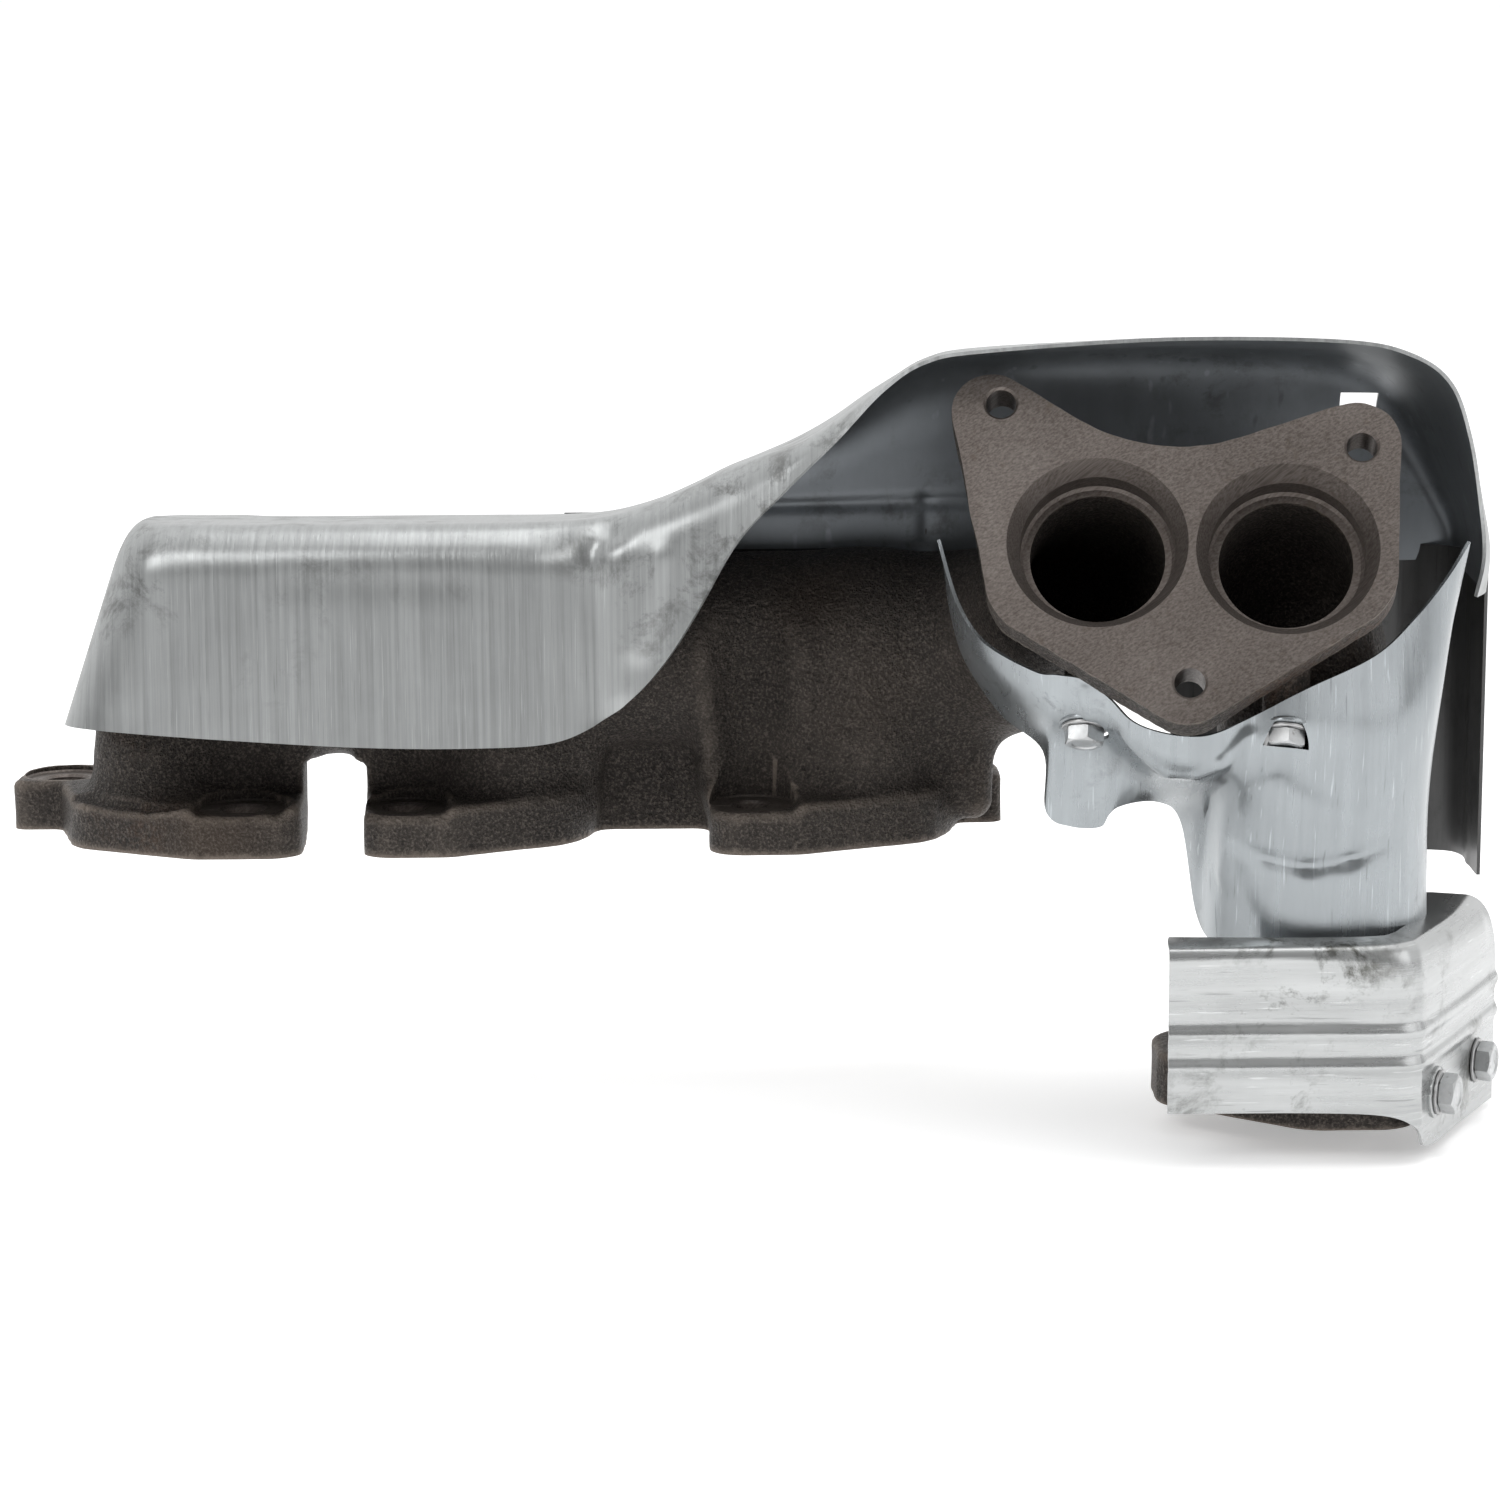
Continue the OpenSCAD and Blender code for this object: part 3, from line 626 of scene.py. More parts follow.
def mark_machined(obj, cast, machined):
    """Faces that lie in a machined plane or bore get the second material."""
    mesh = obj.data
    mesh.materials.clear()
    mesh.materials.append(cast)
    mesh.materials.append(machined)
    n = len(mesh.polygons)
    centre = np.empty(n * 3)
    normal = np.empty(n * 3)
    mesh.polygons.foreach_get("center", centre)
    mesh.polygons.foreach_get("normal", normal)
    centre = centre.reshape(-1, 3) / MM
    normal = normal.reshape(-1, 3)
    local = (centre - OUTLET_AT) @ OUTLET_TURN
    flat = np.zeros(n, bool)
    flat |= (np.abs(centre[:, 2]) < 0.05) & (normal[:, 2] < -0.9)
    flat |= (np.abs(centre[:, 2] - CROSSOVER_Z) < 0.05) & (normal[:, 2] < -0.9)
    flat |= (np.abs(local[:, 2]) < 0.03) & (normal @ OUT_N > 0.9)
    for x in OUTLET_BORES:
        r = np.hypot(local[:, 0] - x, local[:, 1])
        flat |= (r > 18.6) & (r < 26) & (local[:, 2] < 0.3) & (local[:, 2] > -13.3)
    for x, y in STUDS:
        flat |= (np.hypot(local[:, 0] - x, local[:, 1] - y) < 5.2) & (local[:, 2] > -12.6)
    for holes, y, top in ((FRONT_HOLES, -BOLT_Y, FRONT_SEAT), (REAR_HOLES, BOLT_Y, REAR_SEAT)):
        for x, r in holes:
            d = np.hypot(centre[:, 0] - x, centre[:, 1] - y)
            flat |= (d < r + 0.9) & (centre[:, 2] < 14)
            flat |= (d < 12.6) & (np.abs(centre[:, 2] - top) < 0.6)
    mesh.polygons.foreach_set("material_index", flat.astype(np.int32))
    plane = np.abs(centre[:, 2]) < 0.05
    plane |= np.abs(centre[:, 2] - CROSSOVER_Z) < 0.05
    plane |= np.abs(local[:, 2]) < 0.03
    mesh.polygons.foreach_set("use_smooth", ~(plane & flat))
    with editing(mesh) as bm:
        for edge in bm.edges:
            if len(edge.link_faces) == 2:
                a, b = (f.material_index for f in edge.link_faces)
                angle = edge.calc_face_angle(0)
                edge.smooth = a == b and angle < (0.3 if a else 0.9)


# ---------------------------------------------------------------- pressed sheets
def spline_at(rows, s):
    """Smooth value between the stations of a list of arrays."""
    n = len(rows) - 1
    i = min(int(s), n - 1)
    t = s - i
    a, b, c, d = (rows[max(i - 1, 0)], rows[i], rows[i + 1], rows[min(i + 2, n)])
    cubic = d - a + 3 * (b - c)
    square = 2 * a - 5 * b + 4 * c - d
    return (cubic * t ** 3 + square * t ** 2 + (c - a) * t) / 2 + b


def section(p, round1, round2, fine):
    """A section across a sheet: straight runs between four points, with two rounded bends."""
    def toward(u, v, r):
        return u + (v - u) * min(0.45, r / np.linalg.norm(v - u))

    a, b = toward(p[1], p[0], round1), toward(p[1], p[2], round1)
    c, d = toward(p[2], p[1], round2), toward(p[2], p[3], round2)

    def run(u, v, n):
        return [u + (v - u) * i / n for i in range(n)]

    return (run(p[0], a, 6 * fine) + bend([a, p[1], b], 5 * fine)[:-1] + run(b, c, 7 * fine)
            + bend([c, p[2], d], 5 * fine)[:-1] + run(d, p[3], 5 * fine) + [p[3]])


def sheet_grid(keys, per_station, fine):
    """A grid of points through a sheet's stations."""
    rows = []
    keys = [[np.array(q, float) for q in key] for key in keys]
    count = (len(keys) - 1) * per_station
    for i in range(count + 1):
        key = [spline_at([k[c] for k in keys], i / per_station) for c in range(5)]
        rows.append(section(key[:4], max(key[4][0], 1), max(key[4][1], 1), fine))
    return np.array(rows)


def grid_normals(grid):
    along = np.gradient(grid, axis=0)
    across = np.gradient(grid, axis=1)
    normal = np.cross(along, across)
    return normal / np.maximum(np.linalg.norm(normal, axis=2, keepdims=True), 1e-9)


def press(grid, features, levels=()):
    """Pushes a sheet along its normals near features (two ends, radius, height) and levels."""
    normal = grid_normals(grid)
    push = np.zeros(grid.shape[:2])
    for a, b, r, h in features:
        a, b = np.array(a, float), np.array(b, float)
        ab = b - a
        t = np.clip(((grid - a) @ ab) / max(ab @ ab, 1e-9), 0, 1)
        d = np.linalg.norm(grid - a - t[..., None] * ab, axis=2)
        push += h * np.exp(-(d / r) ** 2)
    for z, r, h in levels:
        push += h * np.exp(-((grid[..., 2] - z) / r) ** 2)
    return grid + normal * push[..., None]


def sheet_solid(name, grid, thick):
    """A closed sheet between a grid of points, its inner side, and the grid moved by thick."""
    n, m = grid.shape[:2]
    back = grid + grid_normals(grid) * thick
    points = np.concatenate([grid.reshape(-1, 3), back.reshape(-1, 3)])
    size = n * m
    i, j = np.meshgrid(np.arange(n - 1), np.arange(m - 1), indexing="ij")
    a = (i * m + j).ravel()
    front = np.stack([a, a + m, a + m + 1, a + 1], axis=1)
    rear = np.stack([size + a, size + a + 1, size + a + m + 1, size + a + m], axis=1)
    i = np.arange(n - 1) * m
    j = np.arange(m - 1)
    left = np.stack([i, size + i, size + i + m, i + m], axis=1)
    last = i + m - 1
    rightmost = np.stack([last, last + m, size + last + m, size + last], axis=1)
    low = np.stack([j, j + 1, size + j + 1, size + j], axis=1)
    top = (n - 1) * m + j
    high = np.stack([top, size + top, size + top + 1, top + 1], axis=1)
    obj = new_mesh(name, points, np.concatenate([front, rear, left, rightmost, low, high]))
    # Any two metals, to keep the sides apart through the cuts. place_sheet sets the real ones.
    obj.data.materials.append(outlet_metal)
    obj.data.materials.append(inner_painted_shade_metal)
    sides = np.zeros(len(obj.data.polygons), np.int32)
    sides[:len(front)] = 1
    obj.data.polygons.foreach_set("material_index", sides)
    outward(obj)
    return obj


def seat_pads(obj, places):
    """A flat drilled pad in the sheet under each washer."""
    for at, way in places:
        combine(obj, [bore(at, way, [(6.7, -0.7), (6.7, 6)], 64)])
        pad = lathe("pad", at, way, [(7.3, -1.2), (7.4, -0.9), (7.3, -0.3), (6.9, -0.05)], 64)
        combine(obj, [pad], "UNION")
        combine(obj, [hole(at, way, SHIELD_HOLE_R, 4, 4)])


# Stations across each sheet: free edge, two bends and far edge, then the two bend lengths.
UPPER_KEYS = [
    [[-131, 24, 33], [-112, 24, 94], [-108, 28, 93.5], [-107, 28, 82], [14, 3]],
    [[-130, -8, 37], [-110, -6, 97], [-101, 28, 94], [-100, 28, 82], [14, 5]],
    [[-128, -30, 39], [-108, -27, 98], [-95, 28, 94], [-94, 28, 81.5], [14, 5]],
    [[-119, -43, 40], [-101, -39, 98], [-89, 28, 94], [-88, 28, 81], [14, 5]],
    [[-103, -46, 39], [-89, -42, 98], [-82, 28, 94], [-81, 28, 81], [14, 5]],
    [[-75, -47, 37], [-70, -43, 98], [-68, 28, 93.5], [-67, 28, 81], [14, 5]],
    [[-40, -48, 35], [-38, -44, 98], [-38, 28, 93.5], [-37, 28, 81], [14, 5]],
    [[-8, -48, 34.5], [-7, -44, 98], [-7, 28, 93.5], [-7, 28, 81], [14, 5]],
    [[16, -48, 36], [15, -44, 98.5], [15, 28, 93.5], [15, 28, 81], [14, 5]],
    [[31, -49, 43], [31, -46, 100], [31, 28, 94.5], [31, 28, 82], [14, 5]],
    [[42, -51, 52], [45, -48, 104], [45, 28, 98], [45, 28, 82.5], [14, 6]],
    [[51, -53, 63], [57, -50, 109], [57, 28, 103], [57, 28, 83], [14, 8]],
    [[59, -55, 76], [67, -52, 114], [67, 28, 108], [67, 28, 83], [14, 12]],
    [[70, -57, 95], [77, -54, 118], [77, 28, 112], [77, 28, 83], [12, 14]],
    [[84, -60, 110], [88, -57, 122], [88, 28, 117], [88, 28, 83], [10, 16]],
    [[98, -63, 124], [99, -58, 129], [99, 28, 123], [99, 28, 83], [8, 18]],
    [[111, -66, 138], [111, -58, 138], [111, 28, 131], [111, 28, 82.5], [8, 20]],
    [[123, -69, 146], [123, -58, 146], [123, 28, 137], [123, 28, 82], [10, 22]],
    [[140, -72, 149], [140, -56, 149], [140, 28, 141], [140, 28, 81], [14, 24]],
    [[190, -74, 152], [190, -54, 151], [190, 28, 143], [190, 28, 79], [14, 24]],
    [[238, -74, 151], [238, -54, 150], [236, 28, 142], [236, 28, 78], [14, 24]],
    [[257, -74, 147], [258, -54, 147], [254, 28, 139], [254, 28, 78], [14, 24]],
    [[268, -73, 139], [270, -52, 139], [266, 28, 132], [266, 28, 78], [14, 20]],
    [[274, -71, 124], [277, -50, 124], [276, 27, 119], [275, 28, 78], [14, 16]],
    [[278, -67, 106], [282, -48, 106], [284, 26, 104], [283, 28, 78], [12, 12]],
    [[281, -60, 90], [286, -44, 90], [290, 24, 90], [288, 28, 78], [8, 8]],
    [[281, -50, 77], [286, -40, 77], [291, 22, 77], [290, 27, 77], [6, 3]]
]

OUTLET_KEYS = [
    [[127, -62, 96], [129, -59, 89], [130, -54, 82], [131, -48, 76], [5, 5]],
    [[132, -69, 79], [133, -66, 72], [134, -60, 66], [135, -52, 61], [6, 6]],
    [[139, -78, 69], [141, -75, 60], [143, -68, 53], [145, -59, 46], [8, 6]],
    [[152, -90, 62.5], [154, -89, 52], [155, -80, 45], [156.5, -72, 37], [8, 6]],
    [[158, -94, 62], [159, -93, 52], [159, -82, 44], [157, -76, 20], [7, 6]],
    [[165, -97, 61], [166, -96, 51], [166, -80, 42], [163, -76, 16], [6, 7]],
    [[172, -99, 56], [173, -98, 49], [173, -82, 40], [172, -76, 16], [6, 8]],
    [[178, -101, 50], [178, -100, 44], [178, -84, 37], [176, -78, 22], [6, 8]],
    [[186, -102, 47], [186, -100, 38], [188, -84, 29], [188, -74, 23], [8, 8]],
    [[195, -102, 46], [197, -99, 35], [199, -82, 26], [197, -62, 14], [9, 10]],
    [[201, -102, 47], [203, -100, 35], [203, -74, 20], [202, -60, -13], [9, 12]],
    [[208, -102, 50], [209, -102, 38], [207, -84, 16], [206, -76, -19], [9, 14]],
    [[216, -102, 54], [217, -103, 43], [216, -90, 16], [217, -88, -20], [9, 16]],
    [[226, -101, 59], [228, -102, 44], [231, -93, 13], [232, -92, -21], [9, 16]],
    [[245, -92, 66], [246, -96, 45], [248, -90, 13], [248, -89, -21], [9, 16]],
    [[257, -84, 75], [259, -87, 50], [259, -80, 14], [259, -80, -19], [9, 16]],
    [[267, -76, 85], [267, -76, 60], [264, -70, 22], [265, -69, -16], [9, 16]],
    [[275, -68, 95], [271, -64, 70], [266, -57, 32], [266, -57, -13], [9, 16]]
]

FLANGE_KEYS = [
    [[188, -106, -60], [188, -106, -14], [188, -101, -13], [189, -96, -13], [3, 2]],
    [[225, -106, -60], [225, -106, -14], [225, -101, -13], [225, -98, -13], [3, 2]],
    [[248, -106, -61], [248, -106, -14], [247, -99, -13], [246, -97, -13], [6, 2]],
    [[257, -104.5, -65], [256, -104, -14], [254, -95, -13], [252, -93, -13], [12, 2]],
    [[261, -99, -72], [261, -98, -14], [257, -88, -13], [256, -86, -13], [16, 2]],
    [[276, -71, -73], [276, -71, -14], [268, -66, -13], [266.5, -65, -13], [16, 2]],
    [[291, -42, -74], [291, -42, -14], [272, -40, -13], [266.5, -43, -13], [20, 2]]
]


def fastener(name, place, shank, metal, washer_metal, turn=0.3):
    """A hexagon bolt with a chamfered head, seated on a dished washer."""
    at, way = place
    way = unit(way)
    af = 10.0
    across = af / math.cos(math.radians(30)) / 2
    side = unit(np.cross(way, [0, 0, 1] if abs(way[2]) < 0.9 else [1, 0, 0]))
    other = np.cross(way, side)
    points, faces = [], []
    for h in (1.25, 5.7):
        for i in range(6):
            a = math.radians(60 * i) + turn
            points.append(at + way * h + across * (math.cos(a) * side + math.sin(a) * other))
    faces = [(5, 4, 3, 2, 1, 0), (6, 7, 8, 9, 10, 11)]
    faces += [(i, (i + 1) % 6, (i + 1) % 6 + 6, i + 6) for i in range(6)]
    head = new_mesh(name, points, faces)
    outward(head)
    turned = lathe("cutter", at, way, [
        (0, 1.2), (5.35, 1.2), (5.9, 1.7), (5.9, 4.9), (4.7, 5.62), (3.6, 5.68),
        (3.1, 5.35), (0, 5.25)], 72)
    combine(head, [turned], "INTERSECT")
    shaft = lathe("cutter", at, way, [
        (0, -shank), (2.2, -shank), (3, -shank + 0.9), (3, 1.3), (3.6, 2.2), (0, 2.2)], 40)
    combine(head, [shaft], "UNION")
    finish_mesh(head, 25)
    head.data.materials.clear()
    head.data.materials.append(metal)
    ring = lathe(name.replace("bolt", "washer"), at, way, [
        (3.25, 0.06), (6.1, 0.06), (6.45, 0.3), (6.45, 0.75), (6.2, 1.0), (5.2, 1.12),
        (3.25, 1.14), (3.25, 0.06)], 72)
    finish_mesh(ring, 30)
    ring.data.materials.append(washer_metal)
    return head, ring


# ---------------------------------------------------------------- materials
class Shade:
    """A small helper to write a material's nodes."""

    def __init__(self, name):
        self.material = bpy.data.materials.new(name)
        self.material.use_nodes = True
        self.tree = self.material.node_tree
        self.shader = self.tree.nodes["Principled BSDF"]
        self.place = self.node("ShaderNodeTexCoord").outputs["Object"]

    def node(self, kind, **values):
        made = self.tree.nodes.new(kind)
        for key, value in values.items():
            setattr(made, key, value)
        return made

    def link(self, a, b):
        self.tree.links.new(a, b)

    def noise(self, scale, detail=4, rough=0.55, stretch=None, seed=0.0, distort=0.0):
        made = self.node("ShaderNodeTexNoise")
        made.inputs["Scale"].default_value = scale
        made.inputs["Detail"].default_value = detail
        made.inputs["Roughness"].default_value = rough
        made.inputs["Distortion"].default_value = distort
        mapping = self.node("ShaderNodeMapping")
        mapping.inputs["Location"].default_value = (seed, seed * 0.7, -seed)
        if stretch:
            mapping.inputs["Scale"].default_value = stretch
        self.link(self.place, mapping.inputs["Vector"])
        self.link(mapping.outputs["Vector"], made.inputs["Vector"])
        return made.outputs["Fac"]

    def ramp(self, value, stops, linear=True):
        made = self.node("ShaderNodeValToRGB")
        made.color_ramp.interpolation = "LINEAR" if linear else "EASE"
        elements = made.color_ramp.elements
        while len(elements) < len(stops):
            elements.new(0.5)
        for element, (at, color) in zip(elements, stops):
            element.position = at
            element.color = (*color, 1) if isinstance(color, tuple) else (color, color, color, 1)
        self.link(value, made.inputs["Fac"])
        return made.outputs["Color"]

    def mix(self, fac, a, b, mode="MIX"):
        made = self.node("ShaderNodeMix", data_type="RGBA", blend_type=mode)
        self.put(fac, made.inputs["Factor"])
        self.put(a, made.inputs[6])
        self.put(b, made.inputs[7])
        return made.outputs[2]

    def over(self, color, mask, amount, paint):
        """Paint laid on color where the mask says."""
        return self.mix(self.math("MULTIPLY", mask, amount), color, paint)

    def math(self, kind, a, b=0.0, clamp=False):
        made = self.node("ShaderNodeMath", operation=kind, use_clamp=clamp)
        self.put(a, made.inputs[0])
        self.put(b, made.inputs[1])
        return made.outputs[0]

    def put(self, value, socket):
        if isinstance(value, (int, float)):
            socket.default_value = value
        elif isinstance(value, tuple):
            socket.default_value = (*value, 1)
        else:
            self.link(value, socket)

    def near(self, at, size):
        """One at a place, in metres, falling to nothing at a distance of size."""
        far = self.node("ShaderNodeVectorMath", operation="DISTANCE")
        self.link(self.place, far.inputs[0])
        far.inputs[1].default_value = at
        return self.ramp(far.outputs["Value"], [(0.0, 1.0), (size, 0.0)], False)

    def bump(self, height, strength, distance, below=None):
        made = self.node("ShaderNodeBump")
        made.inputs["Strength"].default_value = strength
        made.inputs["Distance"].default_value = distance
        self.link(height, made.inputs["Height"])
        if below is not None:
            self.link(below, made.inputs["Normal"])
        return made.outputs["Normal"]

    def done(self, color, metallic, roughness, normal):
        """Feeds the shader, and gives the finished material."""
        self.link(color, self.shader.inputs["Base Color"])
        self.shader.inputs["Metallic"].default_value = metallic
        self.link(roughness, self.shader.inputs["Roughness"])
        self.link(normal, self.shader.inputs["Normal"])
        return self.material


RUST_PATCHES = [
    ((0.091, -0.009, 0.072), 0.022), ((0.106, -0.012, 0.045), 0.026),
    ((-0.085, -0.036, 0.006), 0.030)]


def cast_material():
    """Sand-cast iron: grain, pits, clouds, rust and lighter worn edges."""
    s = Shade("cast_iron")
    grain = s.noise(1250, 3, 0.65)
    pits = s.noise(560, 4, 0.65, seed=3)
    cloud = s.noise(22, 5, 0.6, seed=7)
    stain = s.noise(9, 4, 0.55, seed=12)
    color = s.ramp(cloud, [(0.30, (0.022, 0.018, 0.016)), (0.52, (0.036, 0.030, 0.026)),
                           (0.74, (0.062, 0.052, 0.045))])
    fleck = s.ramp(grain, [(0.48, 0.0), (0.66, 1.0)])
    color = s.over(color, fleck, 0.6, (0.17, 0.145, 0.125))
    dark = s.ramp(pits, [(0.30, 1.0), (0.44, 0.0)])
    color = s.over(color, dark, 0.8, (0.007, 0.006, 0.005))
    rust = s.math("MULTIPLY", s.ramp(stain, [(0.56, 0.0), (0.74, 1.0)]),
                  s.ramp(pits, [(0.40, 0.0), (0.62, 1.0)]))
    color = s.over(color, rust, 0.7, (0.12, 0.055, 0.024))
    for at, size in RUST_PATCHES:
        patch = s.math("MULTIPLY", s.near(at, size), s.ramp(stain, [(0.35, 0.2), (0.62, 1.0)]))
        color = s.over(color, patch, 0.4, (0.085, 0.053, 0.032))
    geometry = s.node("ShaderNodeNewGeometry")
    edge = s.ramp(geometry.outputs["Pointiness"], [(0.505, 0.0), (0.56, 1.0)])
    color = s.over(color, edge, 0.55, (0.30, 0.25, 0.21))
    fine = s.bump(grain, 0.9, 0.0009)
    return s.done(color, 0.5, s.ramp(grain, [(0.3, 0.62), (0.75, 0.40)]),
                  s.bump(pits, 0.9, 0.0016, fine))


def machined_material():
    """Milled iron: fine lines, clouds and spots."""
    s = Shade("machined_face")
    mapping = s.node("ShaderNodeMapping")
    mapping.inputs["Rotation"].default_value = (0.35, 0.6, 0.5)
    s.link(s.place, mapping.inputs["Vector"])
    fine = s.node("ShaderNodeTexNoise")
    fine.inputs["Scale"].default_value = 30
    fine.inputs["Detail"].default_value = 5
    fine.inputs["Roughness"].default_value = 0.65
    streak = s.node("ShaderNodeMapping")
    streak.inputs["Scale"].default_value = (1.2, 60, 60)
    s.link(mapping.outputs["Vector"], streak.inputs["Vector"])
    s.link(streak.outputs["Vector"], fine.inputs["Vector"])
    lines = fine.outputs["Fac"]
    cloud = s.noise(26, 5, 0.62, seed=4)
    color = s.ramp(cloud, [(0.28, (0.058, 0.046, 0.040)), (0.55, (0.110, 0.092, 0.083)),
                           (0.80, (0.19, 0.168, 0.155))])
    scored = s.ramp(lines, [(0.36, (0.07, 0.058, 0.05)), (0.64, (0.27, 0.24, 0.22))])
    color = s.mix(0.42, color, scored)
    spots = s.noise(240, 3, 0.6, seed=9)
    color = s.over(color, s.ramp(spots, [(0.62, 0.0), (0.72, 1.0)]), 0.5, (0.09, 0.07, 0.055))
    return s.done(color, 0.75, s.ramp(lines, [(0.3, 0.50), (0.7, 0.36)]),
                  s.bump(lines, 0.25, 0.0003))


def sheet_material(name, tint, dark, streaks, smudge_seed, rough=0.36, smudges=0.5, lines=0.24):
    """Pressed aluminised sheet: brushed streaks, smudges, fine scratches and dull stains."""
    s = Shade(name)
    brushed = s.noise(1.0, 5, 0.62, stretch=streaks, seed=smudge_seed)
    fine = s.noise(1.0, 3, 0.6, stretch=tuple(3.1 * c for c in streaks), seed=smudge_seed + 5)
    cloud = s.noise(14, 6, 0.62, seed=smudge_seed + 2, distort=0.2)
    smudge = s.noise(70, 6, 0.75, seed=smudge_seed + 8, distort=0.3)
    low = tuple(c * 0.80 for c in tint)
    color = s.ramp(cloud, [(0.30, low), (0.62, tint)])
    low = tuple(c * 0.45 for c in tint)
    high = tuple(min(1, c * 1.45) for c in tint)
    color = s.mix(lines, color, s.ramp(brushed, [(0.32, low), (0.66, high)]))
    scratch = s.noise(1.0, 2, 0.5, stretch=tuple(4.5 * c for c in streaks), seed=smudge_seed + 11)
    color = s.over(color, s.ramp(scratch, [(0.66, 0.0), (0.72, 1.0)]), 0.55, high)
    color = s.over(color, s.ramp(scratch, [(0.27, 1.0), (0.33, 0.0)]), 0.5, low)
    mark = s.math("MULTIPLY", s.ramp(smudge, [(0.50, 0.0), (0.62, 1.0)]),
                  s.ramp(cloud, [(0.48, 0.0), (0.60, 1.0)]))
    color = s.over(color, mark, smudges, dark)
    level = s.math("ADD", s.math("MULTIPLY", cloud, 0.22), s.math("MULTIPLY", brushed, 0.16))
    first = s.bump(brushed, 0.18, 0.0004)
    second = s.bump(fine, 0.12, 0.0003, first)
    return s.done(color, 0.82, s.math("ADD", level, rough - 0.19, True),
                  s.bump(cloud, 0.12, 0.002, second))


def zinc_material(name, tint):
    """Zinc-plated steel with a little dirt."""
    s = Shade(name)
    cloud = s.noise(160, 4, 0.6, seed=2)
    color = s.ramp(cloud, [(0.3, tuple(c * 0.72 for c in tint)), (0.62, tint)])
    dirt = s.noise(420, 3, 0.6, seed=6)
    color = s.over(color, s.ramp(dirt, [(0.60, 0.0), (0.72, 1.0)]), 0.5, (0.12, 0.10, 0.085))
    return s.done(color, 0.95, s.ramp(cloud, [(0.3, 0.46), (0.7, 0.30)]),
                  s.bump(dirt, 0.15, 0.0002))


cast = cast_material()
machined = machined_material()
upper_metal = sheet_material(
    "upper_sheet", (0.36, 0.37, 0.37), (0.10, 0.10, 0.095),
    (700, 60, 9), 1.0, 0.36, 0.6, 0.26)
# The inner side of the shields: the same sheet painted darker, as painted shade inside the hood and
# boxes.
inner_painted_shade_metal = sheet_material(
    "inner_sheet_painted_shade", (0.20, 0.215, 0.23), (0.07, 0.07, 0.07),
    (40, 40, 12), 2.0, 0.42)
outlet_metal = sheet_material(
    "outlet_sheet", (0.36, 0.385, 0.40), (0.10, 0.10, 0.10),
    (300, 60, 12), 4.0, 0.28, 0.6, 0.12)
rear_metal = sheet_material(
    "rear_sheet", (0.10, 0.10, 0.10), (0.03, 0.03, 0.03),
    (300, 300, 10), 6.0, 0.38)
flange_metal = sheet_material(
    "flange_sheet", (0.50, 0.51, 0.51), (0.10, 0.10, 0.09),
    (14, 14, 260), 9.0, 0.28, 1.0, 0.22)
zinc = zinc_material("zinc_bolt", (0.60, 0.61, 0.615))
zinc_dull = zinc_material("zinc_washer", (0.48, 0.48, 0.48))

body = make_casting()
mark_machined(body, cast, machined)
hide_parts("manifold_casting")
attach(body, "root")

density = 8
fine = 4


def place_sheet(obj, node, outside, inside, angle=40):
    """Smooths a sheet, gives its two sides their metals and puts it in place of its node."""
    finish_mesh(obj, angle)
    mesh = obj.data
    sides = np.empty(len(mesh.polygons), np.int32)
    mesh.polygons.foreach_get("material_index", sides)
    mesh.materials.clear()
    mesh.materials.append(outside)
    mesh.materials.append(inside)
    mesh.polygons.foreach_set("material_index", (sides == 1).astype(np.int32))
    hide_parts(node)
    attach(obj, "root")


def bolt_holes(places):
    return [hole(*place, SHIELD_HOLE_R, 6, 6) for place in places]


def along(points, r, h):
    """One feature for each stretch of a line of points."""
    return [(a, b, r, h) for a, b in zip(points, points[1:])]


UPPER_FEATURES = [
    ((27, -46, 92), (29, -50, 42), 3.0, -1.6),
    ((35, -47, 92), (36, -50, 50), 3.6, 1.1),
    ((33, -44, 96), (33, -44, 97), 5.0, -2.0),
    ((12, -43, 94), (18, -43, 94), 5.0, -0.6),
    ((47, -50, 90), (41, -51, 64), 3.4, 1.1),
    ((-60, -45, 84), (-10, -45, 83), 5.0, -0.35),
    ((-100, -42, 84), (-106, -38, 50), 6.0, 0.6),
    ((60, 28, 96), (178, 28, 98), 1.8, 0.9),
    ((127.5, 28, 84), (127.5, 28, 98), 1.6, 0.8),
    ((170, -40, 152), (230, -30, 152), 18, -0.7),
    ((150, 27, 120), (165, 28, 108), 12, 0.8)]
grid = press(sheet_grid(UPPER_KEYS, density, fine), UPPER_FEATURES)
upper = sheet_solid("upper_shield", grid, SHEET)
combine(upper, [block("cutter", [254, 20, 121], [265, 40, 130])])
combine(upper, bolt_holes([UPPER_LEFT, UPPER_RIGHT, REAR_LEFT]))
place_sheet(upper, "upper_heat_shield", upper_metal, inner_painted_shade_metal)

OUTLET_FEATURES = (
    along([(176, -99, 44.5), (188, -96, 34), (196, -97, 33), (202, -101, 37.5),
           (209, -103, 46)], 1.8, 0.9)
    + along([(206, -88, 13), (216, -92, 9), (228, -94, 7), (240, -93, 9),
             (250, -90, 13)], 2.4, -0.9)
    + [((165, -97.6, 58), (166.5, -94, 50), 1.6, 0.7),
       ((219, -99, 31), (224, -98, 28), 4.5, -1.3),
       ((230, -98, 31), (237, -98, 26), 3.5, 0.8),
       ((208, -85, 10), (206, -82, 3), 4.0, 1.1),
       ((203, -79, 4), (203, -77, -3), 2.6, -0.8),
       ((252, -90, 50), (250, -92, 20), 7.0, 0.6)])
grid = press(sheet_grid(OUTLET_KEYS[::-1], density, fine), OUTLET_FEATURES)
outlet = sheet_solid("outlet_shield", grid, SHEET)
seat_pads(outlet, [OUTLET_LEFT, OUTLET_RIGHT])
place_sheet(outlet, "outlet_heat_shield", outlet_metal, inner_painted_shade_metal)

